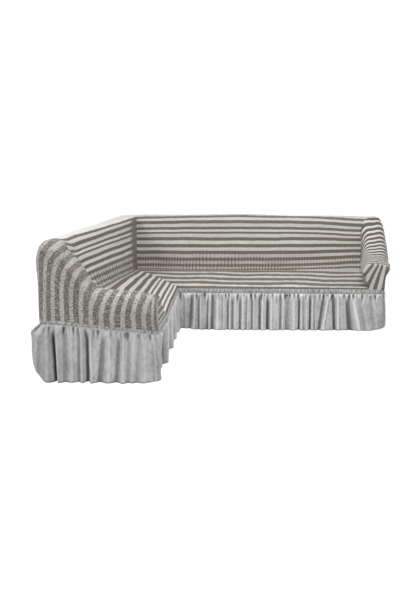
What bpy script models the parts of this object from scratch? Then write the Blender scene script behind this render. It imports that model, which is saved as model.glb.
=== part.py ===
"""An L-shaped sofa slipcover, standing as it hangs on the sofa it covers.

Section coordinates: along is measured from the outer rear corner towards the arm of a section,
depth from the outer back face towards the front, height from the floor. The long section runs
along +X and the short one towards -Y. Metres, Z up, the fronts of the long section face -Y.
"""
import math

import bmesh
import bpy
import numpy as np

# Driving sizes
LONG_RUN = 2.740            # outer corner to the outside of the right arm
SHORT_RUN = 2.080           # outer corner to the outside of the left arm
DEPTH = 0.820               # outer back to the front of the seat
STRIPED_THICK = 0.0024
BAND_THICK = 0.0026
SKIRT_THICK = 0.0022
SEAM = 0.0002               # half of the gap left at every seam
SEAM_TURN = 0.003           # how far the inner side of an arm's seam is cut back
JOIN_GAP = 0.0005           # between two lengths of one cloth that are sewn end to end
CORNER_ROUND = 0.070        # upright edges of the backs
FRONT_LINE = 0.790          # depth at which the arm cloth meets its front panel
WALL_TOP = 0.820            # height at which the straight outer back starts to roll over
BAND_WIDE = 0.038
HEM_CLEAR = 0.004

# Looks
STRIPED_COLOUR = (0.42, 0.39, 0.36)
BAND_COLOUR = (0.40, 0.40, 0.40)
SKIRT_COLOUR = (0.45, 0.45, 0.455)
CLOTH_ROUGHNESS = 0.85

# Sampling
WALL_ROWS = 4
BODY_ROWS = 25
FRONT_ROWS = 3
LONG_STEPS = 19
SHORT_STEPS = 15
SHOULDER_IN = 4             # arch steps at which the front panel of an arm turns its corners
SHOULDER_OUT = 9
LOOP_SMOOTHING = 12
BAND_STEP = 0.055
BAND_GAP = 0.0012
LOOP_SPACING = 0.010
SKIRT_LEVELS = (0.0, 0.13, 0.42, 0.74, 1.0)
SEEN_PHASES = (0.0, 0.20, 0.40, 0.60, 0.80)
HIDDEN_PHASES = (0.0, 0.33, 0.67)

# Places along the control points of an arm's arch at which it is sampled
ARCH_PLACES = (0.0, 0.8, 1.6, 2.3, 3.0, 3.5, 4.0, 4.5, 5.0, 5.5, 6.0, 6.7, 7.4, 8.0)
CROWN_PLACE = 4.0           # the top line of an arm, where the cloth of the left one is seamed

# Cross-section of a section above the straight back: depth, height
BODY = (
    (0.000, 0.820),
    (0.012, 0.890),
    (0.050, 0.950),
    (0.110, 0.976),
    (0.160, 0.971),
    (0.198, 0.936),
    (0.222, 0.850),
    (0.262, 0.660),
    (0.298, 0.500),
    (0.322, 0.455),
    (0.370, 0.446),
    (0.500, 0.431),
    (0.650, 0.412),
    (0.745, 0.400),
    (0.790, 0.394),
)
FRONT_ROLL = ((0.790, 0.394), (0.812, 0.386), (0.820, 0.372))
RIDGE_DEPTH = 0.150
CREASE_DEPTH = 0.322
CREASE_HEIGHT = 0.455
INNER_TOP = 0.950

# Top line of the arm cloth: depth, height
RIGHT_ARM_TOP = (
    (0.150, 0.974),
    (0.200, 0.945),
    (0.270, 0.868),
    (0.350, 0.780),
    (0.430, 0.695),
    (0.490, 0.652),
    (0.580, 0.640),
    (0.700, 0.632),
    (0.790, 0.617),
)
LEFT_ARM_TOP = (
    (0.150, 0.980),
    (0.232, 0.893),
    (0.308, 0.798),
    (0.358, 0.712),
    (0.400, 0.655),
    (0.460, 0.640),
    (0.560, 0.634),
    (0.700, 0.626),
    (0.790, 0.605),
)

# Where a section's cloth stops and its arm's begins: depth, distance in from the outside of the arm
RIGHT_SEAM = (
    (0.00, 0.120),
    (0.10, 0.110),
    (0.16, 0.125),
    (0.20, 0.185),
    (0.23, 0.212),
    (0.33, 0.210),
    (0.60, 0.215),
    (0.82, 0.185),
)
LEFT_SEAM = (
    (0.00, 0.120),
    (0.10, 0.130),
    (0.16, 0.150),
    (0.22, 0.220),
    (0.33, 0.330),
    (0.50, 0.400),
    (0.82, 0.380),
)

# Outside of the arm cloth: depth, distance in from the end of the run
RIGHT_FLARE = ((0.0, 0.020), (0.20, 0.004), (0.42, 0.000), (0.62, 0.022), (0.82, 0.055))
LEFT_FLARE = ((0.0, 0.008), (0.30, 0.000), (0.82, 0.000))

# How far the roll of the right arm leans in over the seat: depth, lean
RIGHT_LEAN = ((0.0, 0.0), (0.30, 0.0), (0.55, 0.030), (0.79, 0.065))

# How far the cloth is drawn across where it nears the inner corner of the L: distance in from the
# outer back of the short section, shift; and where along the short section this starts and is full
CORNER_DRAW = (
    (0.000, 0.000),
    (0.070, 0.000),
    (0.150, 0.095),
    (0.200, 0.068),
    (0.222, 0.048),
    (0.262, 0.014),
    (0.298, -0.015),
    (0.322, -0.034),
    (0.370, -0.040),
    (0.500, -0.052),
    (0.820, -0.078),
    (1.300, 0.000),
)
DRAW_START = 0.380
DRAW_FULL = 1.680

# Height of the top edge of the band at the corners of the plan
BAND_REAR_LEFT = 0.415
BAND_REAR_RIGHT = 0.402
BAND_FRONT_RIGHT = 0.384
BAND_INNER = 0.374
BAND_END_FRONT = 0.370
BAND_END_REAR = 0.432

# Height by which the seat cloth of the short section rises towards its arm: along, lift
SHORT_SEAT_LIFT = ((0.35, 0.0), (1.10, 0.075), (1.70, 0.125))

# Height by which the top of each back departs from level: along, lift
LONG_RIDGE = ((0.15, 0.0), (1.30, 0.013), (2.60, -0.004))
SHORT_RIDGE = ((0.15, 0.0), (1.00, 0.002), (2.08, 0.012))

# Slack of the cloth: how far it strays on the inner back, on the seat and along the top
BACK_SLACK = 0.0035
SEAT_SLACK = 0.0035
TOP_SLACK = 0.0025

# Skirt: how far it stands out under the band and at the hem, and its lifted corners
TOP_STAND = 0.004
END_CORNER_LIFT = 0.130
END_CORNER_REACH = 0.075
END_CORNER_BULGE = 0.040
FAR_CORNER_LIFT = 0.022

# Runs of folds round the skirt: x and y where each starts, width and depth of its folds
FOLD_RUNS = (
    (0.20, SHORT_RUN, 0.135, 0.024),
    (LONG_RUN, SHORT_RUN - 0.10, 0.125, 0.024),
    (LONG_RUN - 0.15, SHORT_RUN - DEPTH, 0.098, 0.022),
    (LONG_RUN - 0.60, SHORT_RUN - DEPTH, 0.068, 0.020),
    (DEPTH, SHORT_RUN - DEPTH - 0.05, 0.300, 0.042),
    (DEPTH - 0.05, 0.0, 0.100, 0.026),
    (0.0, 0.10, 0.135, 0.024),
)


# How far the hem of the skirt stands out from the band: x and y of places round the plan, distance
HEM_STAND = (
    (0.20, SHORT_RUN, 0.022),
    (LONG_RUN, SHORT_RUN - 0.10, 0.022),
    (LONG_RUN, SHORT_RUN - 0.65, 0.022),
    (LONG_RUN - 0.12, SHORT_RUN - DEPTH, 0.020),
    (LONG_RUN - 0.66, SHORT_RUN - DEPTH, 0.044),
    (LONG_RUN - 1.30, SHORT_RUN - DEPTH, 0.066),
    (DEPTH + 0.15, SHORT_RUN - DEPTH, 0.070),
    (DEPTH, SHORT_RUN - DEPTH - 0.12, 0.016),
    (DEPTH, 0.12, 0.006),
    (DEPTH - 0.12, 0.0, 0.050),
    (0.35, 0.0, 0.056),
    (0.12, 0.0, 0.046),
    (0.0, 0.10, 0.010),
    (0.0, 0.50, 0.022),
)

# Lengths of the band and the skirt: place, and the corner of the plan at which each starts
LENGTHS = (
    ("long_rear", 0.0, SHORT_RUN),
    ("right_end", LONG_RUN, SHORT_RUN),
    ("long_front", LONG_RUN, SHORT_RUN - DEPTH),
    ("short_front", DEPTH, SHORT_RUN - DEPTH),
    ("left_end", DEPTH, 0.0),
    ("short_rear", 0.0, 0.0),
)


def line(table, at):
    """Reads a two-column table, straight between rows."""
    rows = np.asarray(table)
    return np.interp(at, rows[:, 0], rows[:, 1])


def ease(low, high, value):
    """0 below low, 1 above high and smooth between."""
    t = np.clip((np.asarray(value, float) - low) / (high - low), 0.0, 1.0)
    return t * t * (3.0 - 2.0 * t)


def smooth(points, dense=40):
    """A smooth line through the rows of a table."""
    rows = np.asarray(points, float)
    span = np.maximum(np.linalg.norm(np.diff(rows, axis=0), axis=1), 1e-6)
    at = np.concatenate([[0.0], np.cumsum(span)])
    slope = np.gradient(rows, at, axis=0)
    out = []
    for i in range(len(rows) - 1):
        t = np.linspace(0.0, 1.0, dense, endpoint=False)[:, None]
        start = (2 * t**3 - 3 * t**2 + 1) * rows[i] + (t**3 - 2 * t**2 + t) * span[i] * slope[i]
        end = (3 * t**2 - 2 * t**3) * rows[i + 1] + (t**3 - t**2) * span[i] * slope[i + 1]
        out.append(start + end)
    out.append(rows[-1:])
    return np.concatenate(out)


def spread(path, count, turning=0.0):
    """Picks count points along a dense path, closer together where it turns."""
    step = np.diff(path, axis=0)
    length = np.maximum(np.linalg.norm(step, axis=1), 1e-9)
    heading = step / length[:, None]
    turn = np.zeros(len(length))
    turn[1:] = np.arccos(np.clip((heading[1:] * heading[:-1]).sum(1), -1.0, 1.0))
    load = np.concatenate([[0.0], np.cumsum(length + turning * turn)])
    want = np.linspace(0.0, load[-1], count)
    return np.stack([np.interp(want, load, path[:, k]) for k in range(path.shape[1])], axis=1)


def pick(path, places, dense):
    """Reads a smooth line at places counted in rows of its table."""
    at = np.arange(len(path)) / dense
    return np.stack([np.interp(places, at, path[:, k]) for k in range(path.shape[1])], axis=1)


def body_rows():
    """Depth and height of the sampled cross-section above the straight back."""
    return spread(smooth(BODY), BODY_ROWS, turning=0.09)


class Section:
    """One arm of the L: its cross-section along its length."""

    def __init__(self, run, back_band, front_band, ridge, seat_lift, seed):
        self.run = run
        self.back_band = back_band
        self.front_band = front_band
        self.ridge = ridge
        self.seat_lift = seat_lift
        dice = np.random.default_rng(seed)
        self.phase = dice.uniform(0.0, 2.0 * math.pi, 6)

    def band_at(self, along, front):
        rows = self.front_band if front else self.back_band
        return line(rows, along)

    def shape(self, along, depth, height):
        """Moves a point of the plain cross-section to where the cloth lies at that place."""
        from_corner = ease(0.0, 0.35, along - depth)
        lift = line(self.ridge, along) * np.clip((height - 0.45) / 0.5, 0.0, 1.0)
        raised = line(self.seat_lift, along)
        on_inner = ease(0.20, 0.23, depth) * (depth < CREASE_DEPTH)
        inner = raised * np.clip((INNER_TOP - height) / (INNER_TOP - CREASE_HEIGHT), 0.0, 1.0)
        seat = raised * np.clip((DEPTH - depth) / (DEPTH - CREASE_DEPTH), 0.0, 1.0) ** 0.8
        up = lift + np.where(depth < CREASE_DEPTH, inner * on_inner, seat)
        p = self.phase
        slack = np.sin(5.1 * along + p[0]) * np.sin(11.0 * height + p[1])
        slack = slack + 0.7 * np.sin(9.3 * along + 6.0 * height + p[2])
        inner_slack = BACK_SLACK * slack * on_inner * from_corner
        rolls = np.sin(7.7 * along + p[3]) + 0.6 * np.sin(13.9 * along + 9.0 * depth + p[4])
        on_seat = ease(0.33, 0.42, depth) * (1.0 - ease(0.74, 0.80, depth))
        up = up + SEAT_SLACK * rolls * on_seat * from_corner
        up = up + TOP_SLACK * np.sin(6.3 * along + p[5]) * ease(0.95, 0.975, height) * from_corner
        return depth + inner_slack, height + up


LONG = Section(
    LONG_RUN,
    ((0.0, BAND_REAR_LEFT), (LONG_RUN, BAND_REAR_RIGHT)),
    ((DEPTH, BAND_INNER), (LONG_RUN, BAND_FRONT_RIGHT)),
    LONG_RIDGE,
    ((0.0, 0.0), (1.0, 0.0)),
    11,
)
SHORT = Section(
    SHORT_RUN,
    ((0.0, BAND_REAR_LEFT), (SHORT_RUN, BAND_END_REAR)),
    ((DEPTH, BAND_INNER), (SHORT_RUN, BAND_END_FRONT)),
    SHORT_RIDGE,
    SHORT_SEAT_LIFT,
    23,
)


class Arm:
    """The cloth over one arm, from the seam with its section to the band."""

    def __init__(self, section, seam, flare, top, lean, roll, tented):
        self.section = section
        self.seam = seam
        self.flare = flare
        self.top = smooth(top, 12)
        self.lean = lean
        self.roll = roll
        self.tented = tented

    def seam_along(self, depth):
        return self.outside(depth, rounded=False) - line(self.seam, depth)

    def outside(self, depth, rounded=True):
        out = self.section.run - line(self.flare, depth)
        if rounded:
            short = np.clip(CORNER_ROUND - depth, 0.0, CORNER_ROUND)
            out = out - (CORNER_ROUND - np.sqrt(CORNER_ROUND**2 - short**2))
        return out

    def band_height(self, depth):
        rear = self.section.band_at(self.section.run, False)
        front = self.section.band_at(self.section.run, True)
        return rear + (front - rear) * depth / DEPTH

    def arch(self, depth, height):
        """Along and height of one slice of the arm cloth, from the seam over the top to the band."""
        start = float(self.seam_along(depth))
        out = float(self.outside(depth))
        edge = self.section.shape(start, depth, height)
        low = float(edge[1])
        top = max(low + 0.002, float(np.interp(depth, self.top[:, 0], self.top[:, 1])))
        if depth < RIDGE_DEPTH:
            top = low + 0.002
        band = float(self.band_height(depth))
        rise = top - low
        roll = self.roll * (0.6 + 0.4 * float(ease(0.1, 0.4, depth)))
        inset = 0.022 * float(ease(0.05, 0.30, depth))
        if self.tented:
            crown = max(out - 0.095, start + 0.3 * (out - start))
            wide = crown - start
            points = [
                (start, low),
                (start + 0.30 * wide, low + 0.15 * rise),
                (start + 0.60 * wide, low + 0.52 * rise),
                (start + 0.83 * wide, low + 0.90 * rise),
            ]
        else:
            lean = float(line(self.lean, depth))
            inner = start - lean
            crown = 0.5 * (inner + out)
            points = [
                (start, low),
                (start - 0.55 * lean + 0.004, low + 0.42 * rise),
                (inner + 0.006, low + 0.74 * rise),
                (crown - 0.62 * (crown - inner), low + 0.95 * rise),
            ]
        points += [
            (crown, top),
            (crown + 0.62 * (out - crown), top - 0.17 * roll),
            (out, top - 0.80 * roll),
            (out - 0.45 * inset, top - 1.9 * roll),
            (out - inset, band),
        ]
        return pick(smooth(points, 24), ARCH_PLACES, 24)

    def first_arch(self):
        """The slice that lies flat in the back face: a slanting cut, then straight down."""
        start = float(self.seam_along(0.0))
        out = float(self.outside(0.0))
        band = float(self.band_height(0.0))
        bend = wall_levels(band)[-2]
        rolled = float(self.section.shape(start, 0.0, WALL_TOP)[1])
        slant = np.linspace((start, rolled), (out, bend), SHOULDER_OUT, endpoint=False)
        down = np.linspace((out, bend), (out, band), len(ARCH_PLACES) - SHOULDER_OUT)
        return np.concatenate([slant, down])


def drawn(x, y):
    """Where a point at x and y comes to lie once the cloth is drawn to the inner corner."""
    table = smooth(CORNER_DRAW)
    return x + line(table, x) * np.clip((y - DRAW_START) / (DRAW_FULL - DRAW_START), 0.0, 1.0)


def wall_levels(band):
    """Heights of the rows of a straight outer back."""
    return np.linspace(band, WALL_TOP, WALL_ROWS + 1)


RIGHT = Arm(LONG, RIGHT_SEAM, RIGHT_FLARE, RIGHT_ARM_TOP, RIGHT_LEAN, 0.100, False)
LEFT = Arm(SHORT, LEFT_SEAM, LEFT_FLARE, LEFT_ARM_TOP, None, 0.110, True)


def column_places(steps):
    """Shares of the way from the mitre to the arm, closer together at the rounded corner."""
    near = np.array([0.0, 0.009, 0.018, 0.032])
    return np.concatenate([near, np.linspace(0.07, 1.0, steps + 1 - len(near))])


def section_grid(arm, steps):
    """Rows along the cross-section, columns along the section, as along, depth, height."""
    section = arm.section
    body = body_rows()
    front = spread(smooth(FRONT_ROLL), FRONT_ROWS + 1)[1:]
    grid = []
    start_edge = arm.first_arch()
    for level in range(WALL_ROWS):
        row = []
        end_levels = wall_levels(float(section.band_at(section.run, False)))
        stop = float(np.interp(end_levels[level], start_edge[::-1, 1], start_edge[::-1, 0]))
        for f in column_places(steps):
            along = SEAM + f * (stop - 2 * SEAM)
            height = wall_levels(float(section.band_at(along, False)))[level]
            row.append((along, 0.0, height))
        grid.append(row)
    for depth, height in np.concatenate([body, front]):
        stop = float(arm.seam_along(depth))
        row = []
        for f in column_places(steps):
            along = depth + SEAM + f * (stop - 2 * SEAM - depth)
            deep, high = section.shape(along, depth, height)
            hang = float(ease(FRONT_LINE, DEPTH, depth))
            high = high + (float(section.band_at(along, True)) - FRONT_ROLL[-1][1]) * hang
            row.append((along, float(deep), float(high)))
        grid.append(row)
    return np.array(grid)


def drawn_to_corner(arm, grid):
    """A section's grid, or a column of it, with its cloth drawn to the inner corner of the L."""
    out = grid.copy()
    if arm.section is LONG:
        out[..., 0] = drawn(grid[..., 0], SHORT_RUN - grid[..., 1])
    else:
        out[..., 1] = drawn(grid[..., 1], SHORT_RUN - grid[..., 0])
    return out


def arm_grid(arm):
    """Rows along the depth, columns over the arch."""
    grid = []
    for i, (depth, height) in enumerate(body_rows()):
        arch = arm.first_arch() if i == 0 else arm.arch(depth, height)
        deep = np.full(len(arch), depth)
        start = float(arm.seam_along(depth))
        moved = float(arm.section.shape(start, depth, height)[0])
        fade = np.exp(-np.linalg.norm(arch - arch[0], axis=1) / 0.06)
        deep = deep + (moved - depth) * fade
        grid.append(np.stack([arch[:, 0], deep, arch[:, 1]], axis=1))
    grid = np.array(grid)
    grid[:, 0, 0] += SEAM
    grid[0, 1:, 0] += SEAM
    grid[-1, :, 1] -= SEAM
    return grid


def front_grid(arch, roll_edge):
    """Panel on the front of an arm: four sides filled across, then bulged forward."""
    right = arch[SHOULDER_OUT:][::-1]
    top = arch[SHOULDER_IN:SHOULDER_OUT + 1]
    left = np.concatenate([roll_edge[::-1][:, [0, 2]], arch[1:SHOULDER_IN + 1]])
    count = len(left)
    right = spread(right, count)
    wide = len(top)
    foot = np.linspace(left[0], right[0], wide)
    v = np.linspace(0.0, 1.0, count)[:, None, None]
    u = np.linspace(0.0, 1.0, wide)[None, :, None]
    sides = (1 - u) * left[:, None] + u * right[:, None]
    ends = (1 - v) * foot[None] + v * top[None]
    low = (1 - u) * foot[0] + u * foot[-1]
    high = (1 - u) * top[0] + u * top[-1]
    flat = sides + ends - (1 - v) * low - v * high
    belly = DEPTH + 0.004 * np.sin(math.pi * u[..., 0])
    deep = np.broadcast_to(belly, flat.shape[:2]).copy()
    deep[:, -1] = FRONT_LINE + SEAM
    deep[-1, :] = FRONT_LINE + SEAM
    deep[:, 0] = FRONT_LINE + SEAM
    deep[:len(roll_edge), 0] = np.maximum(roll_edge[::-1, 1], FRONT_LINE + SEAM)
    flat[:, 0, 0] += 2 * SEAM
    return np.stack([flat[..., 0], deep, flat[..., 1]], axis=-1)


def to_long(grid):
    out = grid.copy()
    out[..., 1] = SHORT_RUN - grid[..., 1]
    return out


def to_short(grid):
    return np.stack([grid[..., 1], SHORT_RUN - grid[..., 0], grid[..., 2]], axis=-1)


def round_corner(points):
    """Pulls the outer rear corner of the L in to a rounded edge."""
    out = points.copy()
    dx = CORNER_ROUND - points[..., 0]
    dy = CORNER_ROUND - (SHORT_RUN - points[..., 1])
    near = (dx > 0) & (dy > 0)
    span = np.maximum(np.hypot(dx, dy), 1e-9)
    pull = np.where(near, np.maximum(dx, dy) / span, 1.0)
    out[..., 0] = np.where(near, CORNER_ROUND - dx * pull, points[..., 0])
    out[..., 1] = np.where(near, SHORT_RUN - (CORNER_ROUND - dy * pull), points[..., 1])
    return out


def normals(grid, closed):
    """Outward normals of a grid of points, rows by columns."""
    if closed:
        across = np.roll(grid, -1, axis=1) - np.roll(grid, 1, axis=1)
    else:
        across = np.gradient(grid, axis=1)
    up = np.gradient(grid, axis=0)
    n = np.cross(across, up)
    return n / np.maximum(np.linalg.norm(n, axis=-1, keepdims=True), 1e-12)


def clear_scene():
    for thing in list(bpy.data.objects):
        bpy.data.objects.remove(thing, do_unlink=True)
    for mesh in list(bpy.data.meshes):
        bpy.data.meshes.remove(mesh)


def material(name, colour):
    made = bpy.data.materials.new(name)
    made.use_nodes = True
    shader = made.node_tree.nodes["Principled BSDF"]
    shader.inputs["Base Color"].default_value = (*colour, 1.0)
    shader.inputs["Roughness"].default_value = CLOTH_ROUGHNESS
    shader.inputs["Metallic"].default_value = 0.0
    return made


def solid(name, outer, inner, look):
    """A closed sheet between two grids of points."""
    rows, columns = outer.shape[:2]
    count = rows * columns
    points = np.concatenate([outer.reshape(-1, 3), inner.reshape(-1, 3)])
    faces = []

    across = outer[1:, 1:] - outer[:-1, :-1]
    turned = outer[1:, :-1] - outer[:-1, 1:]
    facing = np.sign(np.sum(np.cross(across, turned) * (outer - inner)[:-1, :-1]))

    def add(a, b, c, d, other=False):
        if other:
            faces.extend(((a, b, d), (b, c, d)))
        else:
            faces.extend(((a, b, c), (a, c, d)))

    for i in range(rows - 1):
        for j in range(columns - 1):
            a = i * columns + j
            b = a + 1
            c = b + columns
            d = a + columns
            away = facing * np.cross(points[c] - points[a], points[d] - points[b])
            hollow = float(np.dot(points[a] + points[c] - points[b] - points[d], away)) < 0.0
            add(a, b, c, d, hollow)
            add(c + count, b + count, a + count, d + count, hollow)
    for j in range(columns - 1):
        a, b = j, j + 1
        add(b + count, b, a, a + count)
        a, b = a + (rows - 1) * columns, b + (rows - 1) * columns
        add(a, b, b + count, a + count)
    for i in range(rows - 1):
        a, b = i * columns, (i + 1) * columns
        add(a, b, b + count, a + count)
        a, b = a + columns - 1, b + columns - 1
        add(b + count, b, a, a + count)
    mesh = bpy.data.meshes.new(name)
    mesh.from_pydata([tuple(p) for p in points], [], faces)
    work = bmesh.new()
    work.from_mesh(mesh)
    bmesh.ops.recalc_face_normals(work, faces=work.faces)
    work.to_mesh(mesh)
    work.free()
    for face in mesh.polygons:
        face.use_smooth = True
    mesh.materials.append(look)
    made = bpy.data.objects.new(name, mesh)
    bpy.context.scene.collection.objects.link(made)
    return made


def inset(grid, thick, side=1.0, closed=False):
    return grid - side * thick * normals(grid, closed)


def begun_after(grid):
    """A length of cloth whose first column is moved off the last column of the length before it."""
    out = grid.copy()
    step = grid[:, 1] - grid[:, 0]
    out[:, 0] += step * (JOIN_GAP / np.linalg.norm(step, axis=1, keepdims=True))
    return out


def cut_in_two(outer, inner, column):
    """Both parts of a sheet that is cut along one of its columns."""
    before = (outer[:, :column + 1], inner[:, :column + 1])
    after = (begun_after(outer[:, column:]), begun_after(inner[:, column:]))
    return before, after


def cut_ring(outer, inner, cuts):
    """The lengths of a ring of cloth that is cut along each of the named columns."""
    count = outer.shape[1]
    lengths = []
    for k, first in enumerate(cuts):
        wide = (cuts[(k + 1) % len(cuts)] - first) % count
        picked = (first + np.arange(wide + 1)) % count
        lengths.append((begun_after(outer[:, picked]), begun_after(inner[:, picked])))
    return lengths


def plan_loop(long_grid, right_grid, right_front, short_grid, left_grid, left_front):
    """Lower edge of all the panels, once round, seen from above clockwise from the outer corner."""
    long_part = to_long(long_grid)
    short_part = to_short(short_grid)
    parts = [
        long_part[0, :-1],
        to_long(right_grid)[:, -1],
        to_long(right_front)[0, ::-1][1:-1],
        long_part[-1, ::-1][:-1],
        short_part[-1, 1:],
        to_short(left_front)[0, 1:-1],
        to_short(left_grid)[::-1, -1],
        short_part[0, ::-1][1:-1],
    ]
    return round_corner(np.concatenate(parts))


class Loop:
    """A closed line round the sofa that can be read at any distance along it."""

    def __init__(self, points, spacing):
        closed = np.concatenate([points, points[:1]])
        step = np.linalg.norm(np.diff(closed[:, :2], axis=0), axis=1)
        at = np.concatenate([[0.0], np.cumsum(step)])
        count = int(round(at[-1] / spacing))
        want = np.linspace(0.0, at[-1], count, endpoint=False)
        path = np.stack([np.interp(want, at, closed[:, k]) for k in range(3)], axis=1)
        for _ in range(LOOP_SMOOTHING):
            path = 0.5 * path + 0.25 * (np.roll(path, 1, axis=0) + np.roll(path, -1, axis=0))
        self.path = path
        step = np.linalg.norm(np.roll(path, -1, axis=0)[:, :2] - path[:, :2], axis=1)
        self.at = np.concatenate([[0.0], np.cumsum(step)])
        self.length = self.at[-1]
        ahead = np.roll(path, -1, axis=0)[:, :2] - np.roll(path, 1, axis=0)[:, :2]
        ahead = ahead / np.linalg.norm(ahead, axis=1, keepdims=True)
        self.out = np.stack([-ahead[:, 1], ahead[:, 0]], axis=1)

    def read(self, values, distance):
        closed = np.concatenate([values, values[:1]])
        where = np.mod(distance, self.length)
        return np.stack([np.interp(where, self.at, closed[:, k]) for k in range(values.shape[1])], axis=1)

    def nearest(self, x, y):
        gap = np.hypot(self.path[:, 0] - x, self.path[:, 1] - y)
        return self.at[int(np.argmin(gap))]

    def apart(self, distance, place):
        """Signed distance along the loop from a place to each of the distances."""
        half = 0.5 * self.length
        return np.mod(distance - place + half, self.length) - half


def corner_columns(loop, distance):
    """Columns that lie nearest to the corners of the plan, where the lengths are joined."""
    return [
        int(np.argmin(np.abs(loop.apart(distance, loop.nearest(x, y)))))
        for _, x, y in LENGTHS
    ]


def band_grids(loop):
    """Outer and inner skins of the gathered band, in lengths."""
    steps = int(round(loop.length / BAND_STEP))
    distance = np.linspace(0.0, loop.length, steps, endpoint=False)
    base = loop.read(loop.path, distance)
    out = loop.read(loop.out, distance)
    out = out / np.linalg.norm(out, axis=1, keepdims=True)
    rows = []
    for share, proud in ((0.0, 0.0005), (0.5, 0.0035), (1.0, 0.0010)):
        row = base.copy()
        row[:, :2] += proud * out
        row[:, 2] = base[:, 2] - BAND_GAP - share * BAND_WIDE
        rows.append(row)
    outer = np.array(rows)
    inner = outer.copy()
    inner[..., :2] -= BAND_THICK * out
    return cut_ring(outer, inner, corner_columns(loop, distance))


def fold_list(loop, rng):
    """Start, width, depth and slant of every fold of the skirt, once round."""
    starts = [loop.nearest(x, y) for x, y, _, _ in FOLD_RUNS]
    folds = []
    here = starts[0]
    stop = here + loop.length
    while here < stop - 0.03:
        gone = [float(np.mod(here - start, loop.length)) for start in starts]
        _, _, run_width, run_depth = FOLD_RUNS[int(np.argmin(gone))]
        width = run_width * rng.uniform(0.72, 1.30)
        if stop - here - width < 0.06:
            width = stop - here
        depth = run_depth * rng.uniform(0.65, 1.30)
        folds.append((here, width, depth, rng.uniform(-0.010, 0.010)))
        here += width
    return folds


def skirt_columns(loop):
    """Distance, phase within its fold, depth and slant of every column of the skirt."""
    rng = np.random.default_rng(71)
    folds = fold_list(loop, rng)
    end_corner = loop.nearest(0.0, 0.0)
    far_corner = loop.nearest(LONG_RUN, SHORT_RUN - DEPTH)
    columns = []
    for k, (here, width, depth, slant) in enumerate(folds):
        following = folds[(k + 1) % len(folds)]
        spot = np.array([here])
        seen = loop.apart(spot, far_corner)[0] > -0.3 and loop.apart(spot, end_corner)[0] < 0.1
        for phase in SEEN_PHASES if seen else HIDDEN_PHASES:
            lean = (1 - phase) * slant + phase * following[3]
            columns.append((here + phase * width, phase, depth, lean))
    return np.array(columns).T


def hem_stand(loop, distance):
    """How far the hem stands out at each of the distances."""
    at = np.array([loop.nearest(x, y) for x, y, _ in HEM_STAND])
    order = np.argsort(at)
    stand = np.array([row[2] for row in HEM_STAND])[order]
    return np.interp(np.mod(distance, loop.length), at[order], stand, period=loop.length)


def near(loop, distance, place, reach):
    """1 at a place on the loop, fading to 0 past its reach."""
    return np.exp(-((loop.apart(distance, place) / reach) ** 2))


def skirt_grids(loop):
    """Outer and inner skins of the gathered skirt, in lengths."""
    inner_corner = loop.nearest(DEPTH, SHORT_RUN - DEPTH)
    end_corner = loop.nearest(0.0, 0.0)
    far_corner = loop.nearest(LONG_RUN, SHORT_RUN - DEPTH)
    distance, phase, depth, slant = skirt_columns(loop)
    depth = depth * (0.15 + 0.85 * ease(0.02, 0.16, np.abs(loop.apart(distance, inner_corner))))
    crest = (0.5 - 0.5 * np.cos(2.0 * math.pi * phase)) ** 0.75
    at_end_corner = near(loop, distance, end_corner, END_CORNER_REACH)
    lift = END_CORNER_LIFT * at_end_corner
    lift = lift + FAR_CORNER_LIFT * near(loop, distance, far_corner, 0.080)
    rows = []
    for level in SKIRT_LEVELS:
        lean = slant * level
        base = loop.read(loop.path, distance + lean)
        out = loop.read(loop.out, distance + lean)
        out = out / np.linalg.norm(out, axis=1, keepdims=True)
        grow = 0.16 + 0.84 * float(ease(0.0, 0.45, level))
        bulge = END_CORNER_BULGE * at_end_corner * math.sin(math.pi * level**0.7)
        flare = TOP_STAND + hem_stand(loop, distance) * level * (1.0 - 0.7 * at_end_corner) + bulge
        away = flare + grow * depth * crest - 0.3 * grow * depth
        top = base[:, 2] - BAND_GAP - BAND_WIDE - 0.0008
        hem = HEM_CLEAR + lift + 0.004 * (1.0 - crest)
        row = base.copy()
        row[:, :2] += away[:, None] * out
        row[:, 2] = top + (hem - top) * level
        rows.append(row)
    outer = np.array(rows)
    inner = inset(outer, SKIRT_THICK, closed=True)
    inner[0, :, 2] = outer[0, :, 2]
    inner[-1, :, 2] = outer[-1, :, 2]
    return cut_ring(outer, inner, corner_columns(loop, distance))


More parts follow.
